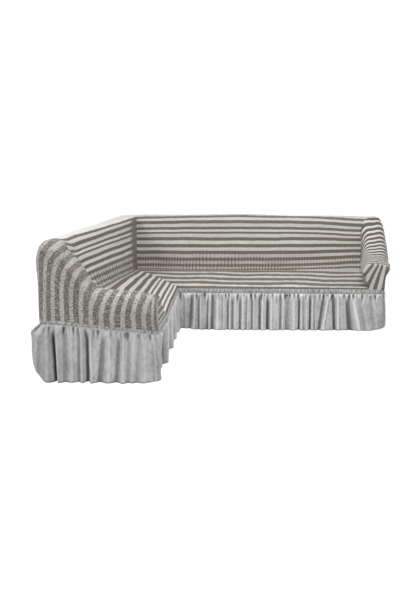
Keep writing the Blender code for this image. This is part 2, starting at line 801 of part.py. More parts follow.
def section_sheets(arm, steps, place):
    """Skins of a section's cloth, its arm's cloths and its arm's front panel, with their plain grids."""
    straight = section_grid(arm, steps)
    mitre = inset(straight, STRIPED_THICK)[:, 0]
    mitre[:, 0] = mitre[:, 1] + SEAM
    grid = drawn_to_corner(arm, straight)
    inner = inset(grid, STRIPED_THICK)
    inner[:, 0] = drawn_to_corner(arm, mitre)
    inner[:WALL_ROWS, -1, 0] = grid[:WALL_ROWS, -1, 0]
    inner[0, :, 2] = grid[0, :, 2]
    inner[-1, :, 2] = grid[-1, :, 2]
    sheets = [(round_corner(place(grid)), round_corner(place(inner)))]

    arm_cloth = arm_grid(arm)
    under = inset(arm_cloth, STRIPED_THICK)
    under[0] = arm_cloth[0] + (0.0, STRIPED_THICK, 0.0)
    turned_in = (2 * SEAM + SEAM_TURN, 0.0, 0.0)
    under[:, 0] = inner[WALL_ROWS:WALL_ROWS + len(under), -1] + turned_in
    under[:, -1, 2] = arm_cloth[:, -1, 2]
    under[-1, :, 1] = arm_cloth[-1, :, 1]
    if arm.tented:
        parts = cut_in_two(arm_cloth, under, ARCH_PLACES.index(CROWN_PLACE))
    else:
        parts = ((arm_cloth, under),)
    for upper, lower in parts:
        sheets.append((place(upper), place(lower)))

    roll_edge = grid[-(FRONT_ROWS + 1):, -1]
    front = front_grid(arm.arch(*body_rows()[-1]), roll_edge)
    behind = inset(front, STRIPED_THICK, side=-1.0)
    slope = np.gradient(front[-1], axis=0)
    across = np.stack([slope[:, 2], 0.0 * slope[:, 2], -slope[:, 0]], axis=1)
    across = across / np.linalg.norm(across, axis=1, keepdims=True)
    behind[-1] = front[-1] + STRIPED_THICK * across
    behind[:-1, 0] = front[:-1, 0] + (STRIPED_THICK, 0.0, 0.0)
    behind[:FRONT_ROWS, 0, 1] -= STRIPED_THICK
    behind[:-1, -1] = front[:-1, -1] - (STRIPED_THICK, 0.0, 0.0)
    behind[0, :, 2] = front[0, :, 2]
    sheets.append((place(front), place(behind)))
    return sheets, (grid, arm_cloth, front)


def build():
    clear_scene()
    long_sheets, long_grids = section_sheets(RIGHT, LONG_STEPS, to_long)
    short_sheets, short_grids = section_sheets(LEFT, SHORT_STEPS, to_short)
    loop = Loop(plan_loop(*long_grids, *short_grids), LOOP_SPACING)
    made = [
        ("long_section_cloth", *long_sheets[0], STRIPED_COLOUR),
        ("right_arm_cloth", *long_sheets[1], STRIPED_COLOUR),
        ("right_arm_front", *long_sheets[2], STRIPED_COLOUR),
        ("short_section_cloth", *short_sheets[0], STRIPED_COLOUR),
        ("left_arm_inner_cloth", *short_sheets[1], STRIPED_COLOUR),
        ("left_arm_end_cloth", *short_sheets[2], STRIPED_COLOUR),
        ("left_arm_front", *short_sheets[3], STRIPED_COLOUR),
    ]
    bands, skirts = band_grids(loop), skirt_grids(loop)
    for (place, _, _), band, skirt in zip(LENGTHS, bands, skirts):
        made.append((f"gathered_band_{place}", *band, BAND_COLOUR))
        made.append((f"gathered_skirt_{place}", *skirt, SKIRT_COLOUR))
    every = np.concatenate([outer.reshape(-1, 3) for _, outer, _, _ in made])
    low, high = every.min(0), every.max(0)
    centre = np.array([0.5 * (low[0] + high[0]), 0.5 * (low[1] + high[1]), low[2]])
    for name, outer, inner, colour in made:
        solid(name, outer - centre, inner - centre, material(name, colour))


build()
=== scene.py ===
"""Looks of the corner sofa slipcover: striped puckered cotton over a gathered grey skirt.

Section coordinates: along is measured from the outer rear corner towards the arm of a section,
depth from the outer back face towards the front, height from the floor. The long section runs
along +X and the short one towards -Y. Girth is the distance over the cloth of a section from the
height where its straight outer back starts to roll over. All sizes are in metres.
"""

import math
from dataclasses import dataclass

import bpy
import numpy as np
from mathutils import Matrix, Vector


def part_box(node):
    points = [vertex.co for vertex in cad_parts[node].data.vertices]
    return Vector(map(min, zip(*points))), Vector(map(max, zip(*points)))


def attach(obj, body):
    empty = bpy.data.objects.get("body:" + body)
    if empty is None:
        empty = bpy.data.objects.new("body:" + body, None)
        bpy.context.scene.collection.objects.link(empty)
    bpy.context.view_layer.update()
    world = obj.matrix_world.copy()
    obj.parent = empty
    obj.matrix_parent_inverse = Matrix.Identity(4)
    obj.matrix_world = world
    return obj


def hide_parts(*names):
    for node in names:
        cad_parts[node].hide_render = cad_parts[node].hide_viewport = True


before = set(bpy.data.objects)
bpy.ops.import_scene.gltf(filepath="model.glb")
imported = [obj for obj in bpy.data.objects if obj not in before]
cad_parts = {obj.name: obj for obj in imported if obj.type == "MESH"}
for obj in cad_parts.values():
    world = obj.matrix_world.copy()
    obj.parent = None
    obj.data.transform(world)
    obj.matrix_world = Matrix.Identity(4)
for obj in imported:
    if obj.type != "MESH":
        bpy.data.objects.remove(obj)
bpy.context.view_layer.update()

# The cover
LONG_RUN = 2.740             # outer corner to the outside of the right arm
SHORT_RUN = 2.080            # outer corner to the outside of the left arm
DEPTH = 0.820                # outer back to the front of the seat
FRONT_Y = SHORT_RUN - DEPTH  # the front of the long section, from the free end
SEAM = 0.0002                # half of the gap left at every seam
CORNER_ROUND = 0.070         # upright edges of the backs
FRONT_LINE = 0.790           # depth at which the arm cloth meets its front panel
WALL_TOP = 0.820             # height at which the straight outer back starts to roll over
WALL_CUT = 0.25              # share of the wall that an arm's slanting seam takes at the top
RIDGE_DEPTH = 0.150
CREASE_DEPTH = 0.322
CREASE_HEIGHT = 0.455
INNER_TOP = 0.950
PANEL_BULGE = 0.004          # how far an arm's front panel stands out from the front of the seat
PANEL_RIM = 0.12             # share of the panel over which it curves forward
BAND_WIDE = 0.038
BAND_GAP = 0.0012
BAND_TURN = 0.0040           # how far the band's edges turn in
BAND_PROUD = 0.0012          # how far the band lies out from the edge that it is sewn to
BAND_SWELL = 0.0030          # how far the band stands out between its two lines of stitches
BAND_LUMP = 0.0014
SKIRT_UNDER = 0.0006         # gap between the band and the skirt's upper edge
SKIRT_LUMP = 0.0062          # gathers just under the band
SKIRT_SOFT = 0.0025          # broad unevenness of the skirt, towards its hem
WRINKLE = 0.0011             # small wrinkles of the striped cloth
RIGHT_WRINKLE = 0.0010       # the same on the right arm
RIB = 0.0010                 # fine ribs low on the inner side of a back
ARM_LUMP = 0.0022            # the seam along the crown of the left arm
ARM_PINCH = 0.0014           # puckers along that seam
PINCH_PITCH = 0.026
HEM_HEIGHT = 0.0065
LOWEST_HEM = 0.0043          # height of the solids' lowest hem as this script counts heights
# The hem's turned-up edge: levels of its rows down the skirt, and how far inside they lie
HEM_TURNED = ((1.0 - 0.020 / 0.33, 0.0022), (1.0 - 0.048 / 0.33, 0.0022))

# Sampling of the cloth
WALL_ROWS = 40
BODY_ROWS = 178
FRONT_ROWS = 8
LONG_COLUMNS = 330
SHORT_COLUMNS = 250
ARM_STEPS = 92
PANEL_POINTS = 161
PANEL_SHOULDERS = (60, 110)  # points at which the panel's top turns into its inner and outer side
PANEL_ROWS = 56
PANEL_COLUMNS = 44
BAND_COLUMNS = 2300
SKIRT_COLUMNS = 2600
SKIRT_ROWS = 32
LOOP_SPACING = 0.010
LOOP_SMOOTHING = 12
EDGE_STEPS = 5.0             # rows and columns over which small wrinkles fade in from an edge
SLICE_DENSE = 24             # points between two control points of an arm's slice
STRIPE_STATIONS = 24         # places along a section at which its stripes are read

# Cross-section of a section above the straight back: depth, height
BODY = (
    (0.000, 0.820), (0.012, 0.890), (0.050, 0.950), (0.110, 0.976), (0.160, 0.971), (0.198, 0.936),
    (0.222, 0.850), (0.262, 0.660), (0.298, 0.500), (0.322, 0.455), (0.370, 0.446), (0.500, 0.431),
    (0.650, 0.412), (0.745, 0.400), (0.790, 0.394),
)
FRONT_ROLL = ((0.790, 0.394), (0.812, 0.386), (0.820, 0.372))
# Top line of each arm: depth, height
RIGHT_ARM_TOP = (
    (0.150, 0.974), (0.200, 0.945), (0.270, 0.868), (0.350, 0.780), (0.430, 0.695), (0.490, 0.652),
    (0.580, 0.640), (0.700, 0.632), (0.790, 0.617),
)
LEFT_ARM_TOP = (
    (0.150, 0.980), (0.232, 0.893), (0.308, 0.798), (0.358, 0.712), (0.400, 0.655), (0.460, 0.640),
    (0.560, 0.634), (0.700, 0.626), (0.790, 0.605),
)
# Where a section's cloth meets its arm, how far the arm's outside is drawn in, and how far its
# inner side leans, each by depth
RIGHT_SEAM = (
    (0.00, 0.120), (0.10, 0.110), (0.16, 0.125), (0.20, 0.185), (0.23, 0.212), (0.33, 0.210),
    (0.60, 0.215), (0.82, 0.185),
)
LEFT_SEAM = (
    (0.00, 0.120), (0.10, 0.130), (0.16, 0.150), (0.22, 0.220), (0.33, 0.330), (0.50, 0.400),
    (0.82, 0.380),
)
RIGHT_FLARE = ((0.0, 0.020), (0.20, 0.004), (0.42, 0.004), (0.62, 0.033), (0.82, 0.055))
LEFT_FLARE = ((0.0, 0.008), (0.30, 0.000), (0.82, 0.000))
RIGHT_LEAN = ((0.0, 0.0), (0.30, 0.0), (0.55, 0.030), (0.79, 0.065))
# How far the cloth is drawn across where it nears the inner corner of the L: distance in from the
# outer back of the short section, shift; and where along the short section this starts and is full
CORNER_DRAW = (
    (0.000, 0.000), (0.070, 0.000), (0.150, 0.095), (0.200, 0.068), (0.222, 0.048), (0.262, 0.014),
    (0.298, -0.015), (0.322, -0.034), (0.370, -0.040), (0.500, -0.052), (0.820, -0.078),
    (1.300, 0.000),
)
DRAW_START = 0.380
DRAW_FULL = 1.680

# Height of the upper edge of the band round the sofa
BAND_REAR_LEFT = 0.415
BAND_REAR_RIGHT = 0.402
BAND_FRONT_RIGHT = 0.384
BAND_INNER = 0.374
BAND_END_FRONT = 0.370
BAND_END_REAR = 0.432
# How far the cloth is lifted along a section, and how uneven it is
SHORT_SEAT_LIFT = ((0.35, 0.0), (1.10, 0.075), (1.70, 0.125))
LONG_RIDGE = ((0.15, 0.0), (1.30, 0.013), (2.60, -0.004))
SHORT_RIDGE = ((0.15, 0.0), (1.00, 0.002), (2.08, 0.012))
BACK_SLACK = 0.0035
SEAT_SLACK = 0.0035
TOP_SLACK = 0.0025

# Pleats of the skirt, set one by one: the trough under the band and at the hem, the crest that
# follows it under the band and at the hem, and how deep the pleat is, as a share of the usual one
FRONT_PLEATS = (
    (0.825, 0.825, 0.850, 0.846, 0.7),
    (0.901, 0.868, 0.937, 0.925, 1.1),
    (0.960, 0.965, 0.985, 0.985, 0.7),
    (1.050, 1.045, 1.065, 1.065, 0.8),
    (1.090, 1.085, 1.138, 1.138, 0.9),
    (1.180, 1.182, 1.194, 1.194, 0.4),
    (1.229, 1.229, 1.257, 1.257, 0.9),
    (1.275, 1.275, 1.298, 1.298, 0.8),
    (1.343, 1.343, 1.370, 1.370, 0.9),
    (1.403, 1.398, 1.420, 1.416, 0.6),
    (1.453, 1.453, 1.476, 1.476, 0.8),
    (1.521, 1.524, 1.548, 1.548, 1.0),
    (1.594, 1.594, 1.630, 1.630, 1.2),
    (1.713, 1.711, 1.740, 1.736, 0.8),
    (1.770, 1.764, 1.838, 1.838, 0.6),
    (1.886, 1.886, 1.904, 1.904, 1.2),
    (1.922, 1.922, 1.957, 1.950, 0.4),
    (1.986, 1.986, 2.005, 2.005, 1.2),
    (2.023, 2.023, 2.041, 2.034, 0.4),
    (2.105, 2.059, 2.150, 2.105, 1.0),
    (2.187, 2.205, 2.232, 2.242, 1.1),
    (2.300, 2.333, 2.365, 2.440, 1.0),
    (2.405, 2.490, 2.440, 2.520, 0.2),
    (2.510, 2.560, 2.550, 2.600, 0.2),
    (2.640, 2.660, 2.670, 2.680, 0.1),
)
END_PLEATS = (
    (0.039, 0.018, 0.081, 0.067, 0.4),
    (0.102, 0.109, 0.126, 0.131, 1.7),
    (0.179, 0.172, 0.226, 0.226, 0.5),
    (0.283, 0.270, 0.303, 0.297, 0.7),
    (0.332, 0.332, 0.356, 0.366, 1.7),
    (0.450, 0.410, 0.499, 0.492, 0.8),
    (0.555, 0.534, 0.590, 0.590, 0.8),
    (0.632, 0.611, 0.674, 0.650, 0.5),
    (0.695, 0.665, 0.740, 0.740, 0.4),
    (0.790, 0.790, 0.812, 0.812, 0.3),
)
INNER_PLEATS = (
    (0.140, 0.140, 0.060, 0.060, 0.3),
    (0.290, 0.290, 0.375, 0.375, 2.4),
    (0.600, 0.600, 0.700, 0.700, 2.1),
    (0.850, 0.850, 0.930, 0.930, 1.0),
    (1.060, 1.060, 1.130, 1.130, 0.8),
)
PLEAT_SINK = 0.020
PLEAT_RISE = 0.010
HIDDEN_PLEAT_WIDTH = 0.075

# How far the hem of the skirt stands out from the band: x and y of places round the plan, distance
HEM_STAND = (
    (0.20, SHORT_RUN, 0.022),
    (LONG_RUN, SHORT_RUN - 0.10, 0.022),
    (LONG_RUN, SHORT_RUN - 0.65, 0.022),
    (LONG_RUN - 0.12, FRONT_Y, 0.020),
    (LONG_RUN - 0.66, FRONT_Y, 0.044),
    (LONG_RUN - 1.30, FRONT_Y, 0.066),
    (DEPTH + 0.15, FRONT_Y, 0.070),
    (DEPTH, FRONT_Y - 0.12, 0.006),
    (DEPTH, 0.12, -0.020),
    (DEPTH - 0.12, 0.0, 0.046),
    (0.35, 0.0, 0.056),
    (0.12, 0.0, 0.046),
    (0.0, 0.10, 0.010),
    (0.0, 0.50, 0.022),
)
# At the free end's rear corner the skirt stands out in a lobe whose hem hangs higher
END_CORNER_LIFT = 0.066
END_LIFT_REACH = 0.034
SIDE_LIFT_REACH = 0.055
END_CORNER_BULGE = 0.072
END_CORNER_REACH = 0.075
FAR_CORNER_LIFT = 0.022
FAR_CORNER_REACH = 0.080
# At the foot of that corner the striped cloth is spread outwards and drawn up: how far, how wide
FOOT_SPREAD, SPREAD_REACH = 0.019, 0.16
FOOT_DRAWN_UP, DRAWN_REACH = 0.017, 0.35
FOOT_LEVELS = (0.33, 0.70)
# Width of the band across the free end, as a share of the usual one
END_BAND_SHARE = 0.62
# How much weaker the skirt's painted shade and highlight are on the free end, how far round the
# inner side its painted light reaches, and its places of extra painted shade: x and y of the
# middle, reach, amount
END_SOFTNESS = 0.50
INNER_LIT_REACH = 0.45
SHADED_PLACES = (
    (0.10, 0.0, 0.13, 0.20),
    (DEPTH + 0.15, FRONT_Y, 0.14, 0.10),
    (LONG_RUN - 0.12, FRONT_Y, 0.30, 0.09),
)

# The solids of the band and the skirt, in the order in which their lengths are sewn end to end
LENGTHS = ("long_rear", "right_end", "long_front", "short_front", "left_end", "short_rear")

# Dark stripes over a section, from the ridge of the back to the front edge: girth or depth of the
# middle and width, at stations along the section
PITCH = 0.0675               # of the outer back's stripes
DARK_HALF = 0.25             # half a dark stripe, as a share of the way from one to the next
REAR_FIRST = 0.100           # girth of the last dark stripe before the ridge
REAR_STRIPES = 10
LONG_BACK_STATIONS = (0.20, 0.77, 1.16, 1.54, 1.92, 2.22, 2.44)
LONG_BACK = (
    (0.029, 0.292, 0.283, 0.275, 0.275, 0.269, 0.280, 0.295),
    (0.033, 0.345, 0.340, 0.338, 0.335, 0.332, 0.338, 0.352),
    (0.027, 0.405, 0.403, 0.400, 0.397, 0.395, 0.397, 0.408),
    (0.020, 0.450, 0.446, 0.445, 0.443, 0.438, 0.442, 0.456),
    (0.032, 0.508, 0.506, 0.508, 0.506, 0.496, 0.494, 0.501),
    (0.034, 0.575, 0.575, 0.575, 0.573, 0.563, 0.559, 0.556),
    (0.035, 0.640, 0.640, 0.642, 0.639, 0.629, 0.618, 0.610),
    (0.033, 0.705, 0.708, 0.710, 0.705, 0.695, 0.681, 0.668),
    (0.030, 0.768, 0.770, 0.770, 0.764, 0.757, 0.741, 0.722),
    # The last row is a thin dark stripe; towards the corner of the L it lies in the crease as
    # painted shade
    (0.018, 0.814, 0.814, 0.812, 0.806, 0.796, 0.784, 0.770),
)
SHORT_BACK_STATIONS = (1.00,)
SHORT_BACK = (
    (0.020, 0.282), (0.033, 0.337), (0.027, 0.399), (0.020, 0.448), (0.032, 0.511),
    (0.034, 0.577), (0.035, 0.644), (0.033, 0.709), (0.026, 0.772),
)
LONG_SEAT_STATIONS = (0.0, 0.30, 1.10, 1.75, 2.15)
LONG_SEAT = (
    (0.064, 0.354, 0.354, 0.354, 0.360, 0.384),
    (0.072, 0.430, 0.465, 0.465, 0.483, 0.511),
    (0.074, 0.570, 0.591, 0.591, 0.612, 0.637),
    (0.076, 0.700, 0.712, 0.712, 0.732, 0.757),
    (0.030, 0.806, 0.808, 0.811, 0.812, 0.817),
)
SHORT_SEAT_STATIONS = (0.0, 0.48, 0.90, 1.25)
SHORT_SEAT = (
    (0.020, 0.330, 0.330, 0.330, 0.330),
    (0.042, 0.366, 0.377, 0.380, 0.394),
    (0.042, 0.442, 0.460, 0.465, 0.493),
    (0.040, 0.520, 0.534, 0.540, 0.563),
    (0.037, 0.596, 0.603, 0.610, 0.630),
    (0.017, 0.646, 0.650, 0.655, 0.668),
    (0.030, 0.696, 0.695, 0.697, 0.710),
    (0.020, 0.750, 0.746, 0.746, 0.750),
    (0.014, 0.788, 0.782, 0.782, 0.784),
    (0.012, 0.818, 0.812, 0.812, 0.812),
)

# The same stripes where they reach the crown of the left arm: depth of the middle of each
LEFT_CROWN_DARK = (
    0.158, 0.188, 0.228, 0.251, 0.282, 0.312, 0.337, 0.361, 0.384, 0.402,
    0.493, 0.580, 0.654, 0.725, 0.762, 0.798, 0.822, 0.840, 0.858,
)

# Dark stripes of the outside of the left arm: depth of the middle of each, by height. In the higher
# rows those past the seventh follow it at the same distances.
END_AHEAD = (0.08, 0.15, 0.22, 0.30, 0.39)
END_LOW = (
    (0.36, (0.035, 0.089, 0.145, 0.206, 0.266, 0.330, 0.398, 0.474, 0.546, 0.622, 0.700, 0.770)),
    (0.48, (0.036, 0.090, 0.146, 0.206, 0.268, 0.335, 0.406, 0.484, 0.557, 0.628, 0.701, 0.771)),
    (0.55, (0.038, 0.092, 0.148, 0.207, 0.270, 0.342, 0.425, 0.500, 0.573, 0.642, 0.712, 0.792)),
    (0.62, (0.043, 0.094, 0.149, 0.209, 0.276, 0.360, 0.454, 0.528, 0.599, 0.666, 0.737, 0.825)),
)
END_HIGH = (
    (0.70, (0.048, 0.097, 0.155, 0.220, 0.300, 0.396, 0.500)),
    (0.78, (0.055, 0.106, 0.172, 0.252, 0.345, 0.460, 0.580)),
    (0.86, (0.063, 0.128, 0.222, 0.330, 0.440, 0.560, 0.680)),
    (0.92, (0.081, 0.195, 0.310, 0.430, 0.550, 0.670, 0.790)),
    (0.98, (0.130, 0.280, 0.400, 0.520, 0.640, 0.760, 0.880)),
)
END_DARK = END_LOW + tuple(
    (height, (*middles, *(middles[-1] + ahead for ahead in END_AHEAD)))
    for height, middles in END_HIGH
)

# Dark stripes over the top of the right arm: depth of the middle of each
RIGHT_TOP_DARK = (
    0.030, 0.105, 0.188, 0.238, 0.276, 0.313, 0.350, 0.381, 0.410, 0.438, 0.466,
    0.497, 0.535, 0.575, 0.615, 0.655, 0.697, 0.740, 0.780, 0.820,
)

# Dark stripes of the front of the right arm: distance along of the middle of each, by height
RIGHT_FRONT_DARK = (
    (0.36, (2.395, 2.475, 2.550, 2.630, 2.700)),
    (0.44, (2.425, 2.503, 2.566, 2.639, 2.706)),
    (0.52, (2.462, 2.535, 2.585, 2.648, 2.712)),
    (0.58, (2.505, 2.562, 2.601, 2.656, 2.716)),
    (0.64, (2.548, 2.590, 2.617, 2.664, 2.720)),
)

# Front of the left arm: stripe count by how far forward on its rounded edge, then by height
LEFT_FRONT_EDGE = 0.056
LEFT_FRONT_UPRIGHT = ((0.790, 0.806, 0.8215, 0.826), (0.38, 0.75, 1.25, 1.42))
LEFT_FRONT_LEVEL = (
    (0.372, 0.392, 0.404, 0.424, 0.446, 0.470, 0.504, 0.526, 0.560, 0.582, 0.616),
    (1.60, 1.75, 2.25, 2.75, 3.25, 3.75, 4.25, 4.75, 5.25, 5.75, 6.25),
)
RIB_PITCH = 0.030
END_DARK_SHARE = 0.57
TOP_DARK_SHARE = 0.60

# Light: strength of the pale surroundings and of the lit floor, and the lamps with place, size and
# power
AROUND = 0.30
FLOOR_GLOW = 0.93
LAMPS = (
    ("key", (-3.4, -4.2, 3.4), 1.4, 95.0),
    ("top", (0.3, -0.9, 4.6), 2.4, 138.0),
    ("fill", (3.6, -3.8, 2.4), 3.0, 24.0),
)


def line(table, at):
    """Reads a two-column table, straight between rows."""
    rows = np.asarray(table)
    return np.interp(at, rows[:, 0], rows[:, 1])


def ease(low, high, value):
    """0 below low, 1 above high and smooth between."""
    t = np.clip((np.asarray(value, float) - low) / (high - low), 0.0, 1.0)
    return t * t * (3.0 - 2.0 * t)


def travelled(points):
    """Distance from the first of some points to each of them, along the line through them."""
    return np.concatenate([[0.0], np.cumsum(np.linalg.norm(np.diff(points, axis=0), axis=1))])


def read(at, rows, want):
    """Reads rows of values that stand at rising places, at other places."""
    return np.stack([np.interp(want, at, column) for column in rows.T], axis=-1)


def smooth(points, dense=40):
    """A smooth line through the rows of a table, dense points to a row."""
    rows = np.asarray(points, float)
    at = travelled(rows)
    span = np.diff(at)
    slope = np.gradient(rows, at, axis=0)
    t = np.linspace(0.0, 1.0, dense, endpoint=False)[:, None]
    out = []
    for i in range(len(rows) - 1):
        start = (2 * t**3 - 3 * t**2 + 1) * rows[i] + (t**3 - 2 * t**2 + t) * span[i] * slope[i]
        end = (3 * t**2 - 2 * t**3) * rows[i + 1] + (t**3 - t**2) * span[i] * slope[i + 1]
        out.append(start + end)
    out.append(rows[-1:])
    return np.concatenate(out)


def spread(path, count):
    """Picks count points evenly along a dense path."""
    at = travelled(path)
    return read(at, path, np.linspace(0.0, at[-1], count))


def pick(path, places, dense):
    """Reads a smooth line at places counted in rows of its table."""
    return read(np.arange(len(path)) / dense, path, places)


class Ripples:
    """Smooth seeded unevenness of a cloth: a sum of waves running in all directions."""

    def __init__(self, seed, short, long, count=26):
        dice = np.random.default_rng(seed)
        length = short * (long / short) ** dice.uniform(0.0, 1.0, count)
        heading = dice.uniform(0.0, math.pi, count)
        self.x = 2.0 * math.pi * np.cos(heading) / length
        self.y = 2.0 * math.pi * np.sin(heading) / length
        self.phase = dice.uniform(0.0, 2.0 * math.pi, count)
        self.size = math.sqrt(2.0 / count)

    def at(self, x, y):
        total = np.zeros(np.broadcast(x, y).shape)
        for kx, ky, phase in zip(self.x, self.y, self.phase):
            total += np.sin(kx * x + ky * y + phase)
        return self.size * total


BODY_LINE = spread(smooth(BODY), BODY_ROWS)
PROFILE = np.concatenate([BODY_LINE, spread(smooth(FRONT_ROLL), FRONT_ROWS + 1)[1:]])
PROFILE_GIRTH = travelled(PROFILE)


def girth_at(depth):
    """Girth of the cloth at a depth, counted over the seat."""
    return np.interp(depth, PROFILE[:, 0], PROFILE_GIRTH)


@dataclass
class Section:
    """One arm of the L: its cross-section along its length."""

    run: float
    back_band: tuple
    front_band: tuple
    ridge: tuple
    seat_lift: tuple
    rib_stretch: float
    seed: int
    back_stations: tuple
    back_dark: tuple
    seat_stations: tuple
    seat_dark: tuple

    def __post_init__(self):
        self.phase = np.random.default_rng(self.seed).uniform(0.0, 2.0 * math.pi, 6)

    def band_at(self, along, front):
        return line(self.front_band if front else self.back_band, along)

    def shape(self, along, depth, height):
        """Moves a point of the plain cross-section to where the cloth lies at that place."""
        # Lift of the ridge and of the seat
        from_corner = ease(0.0, 0.35, along - depth)
        lift = line(self.ridge, along) * np.clip((height - 0.45) / 0.5, 0.0, 1.0)
        raised = line(self.seat_lift, along)
        on_inner = ease(0.20, 0.23, depth) * (depth < CREASE_DEPTH)
        inner = raised * np.clip((INNER_TOP - height) / (INNER_TOP - CREASE_HEIGHT), 0.0, 1.0)
        seat = raised * np.clip((DEPTH - depth) / (DEPTH - CREASE_DEPTH), 0.0, 1.0) ** 0.8
        up = lift + np.where(depth < CREASE_DEPTH, inner * on_inner, seat)
        # Slack of the inner side of the back, of the seat and of the ridge
        p = self.phase
        slack = np.sin(5.1 * along + p[0]) * np.sin(11.0 * height + p[1])
        slack = slack + 0.7 * np.sin(9.3 * along + 6.0 * height + p[2])
        inner_slack = BACK_SLACK * slack * on_inner * from_corner
        rolls = np.sin(7.7 * along + p[3]) + 0.6 * np.sin(13.9 * along + 9.0 * depth + p[4])
        on_seat = ease(0.33, 0.42, depth) * (1.0 - ease(0.74, 0.80, depth))
        up = up + SEAT_SLACK * rolls * on_seat * from_corner
        up = up + TOP_SLACK * np.sin(6.3 * along + p[5]) * ease(0.95, 0.975, height) * from_corner
        return depth + inner_slack, height + up

    def stripe_edges(self, along, from_mitre):
        """Girth of both edges of every dark stripe at one place, and the count at each edge."""
        edges = []
        for k in range(1 - REAR_STRIPES, 1):
            middle = REAR_FIRST + k * PITCH
            edges.append((middle - DARK_HALF * PITCH, middle + DARK_HALF * PITCH))
        for wide, *middles in self.back_dark:
            middle = float(np.interp(along, self.back_stations, middles))
            edges.append((middle - 0.5 * wide, middle + 0.5 * wide))
        for wide, *middles in self.seat_dark:
            depth = float(np.interp(from_mitre, self.seat_stations, middles))
            edges.append((girth_at(depth - 0.5 * wide), girth_at(depth + 0.5 * wide)))
        numbers = np.arange(len(edges)) + 1.0 - REAR_STRIPES
        counts = np.stack([numbers - DARK_HALF, numbers + DARK_HALF], axis=1).ravel()
        counts = np.append(counts, numbers[-1] + 1.0 - DARK_HALF)
        girths = np.ravel(edges)
        girths = np.append(girths, girths[-1] + 0.5 * PITCH)
        return np.maximum.accumulate(girths + 1e-6 * np.arange(len(girths))), counts

    def stripe_count(self, along, depth, girth):
        """Stripe count at every point of a grid: whole in the middle of a dark stripe."""
        out = np.zeros_like(along)
        for i, (deep, far) in enumerate(zip(depth[:, 0], girth[:, 0])):
            on_seat = float(deep >= CREASE_DEPTH)
            stations = np.linspace(0.0, self.run - deep * on_seat, STRIPE_STATIONS)
            edges = (self.stripe_edges(station, station * on_seat) for station in stations)
            reads = [np.interp(far, girths, counts) for girths, counts in edges]
            out[i] = np.interp(along[i] - deep * on_seat, stations, reads)
        return out


LONG = Section(
    run=LONG_RUN,
    back_band=((0.0, BAND_REAR_LEFT), (LONG_RUN, BAND_REAR_RIGHT)),
    front_band=((DEPTH, BAND_INNER), (LONG_RUN, BAND_FRONT_RIGHT)),
    ridge=LONG_RIDGE,
    seat_lift=((0.0, 0.0), (1.0, 0.0)),
    rib_stretch=1.0,
    seed=11,
    back_stations=LONG_BACK_STATIONS,
    back_dark=LONG_BACK,
    seat_stations=LONG_SEAT_STATIONS,
    seat_dark=LONG_SEAT,
)
SHORT = Section(
    run=SHORT_RUN,
    back_band=((0.0, BAND_REAR_LEFT), (SHORT_RUN, BAND_END_REAR)),
    front_band=((DEPTH, BAND_INNER), (SHORT_RUN, BAND_END_FRONT)),
    ridge=SHORT_RIDGE,
    seat_lift=SHORT_SEAT_LIFT,
    rib_stretch=0.5,
    seed=23,
    back_stations=SHORT_BACK_STATIONS,
    back_dark=SHORT_BACK,
    seat_stations=SHORT_SEAT_STATIONS,
    seat_dark=SHORT_SEAT,
)


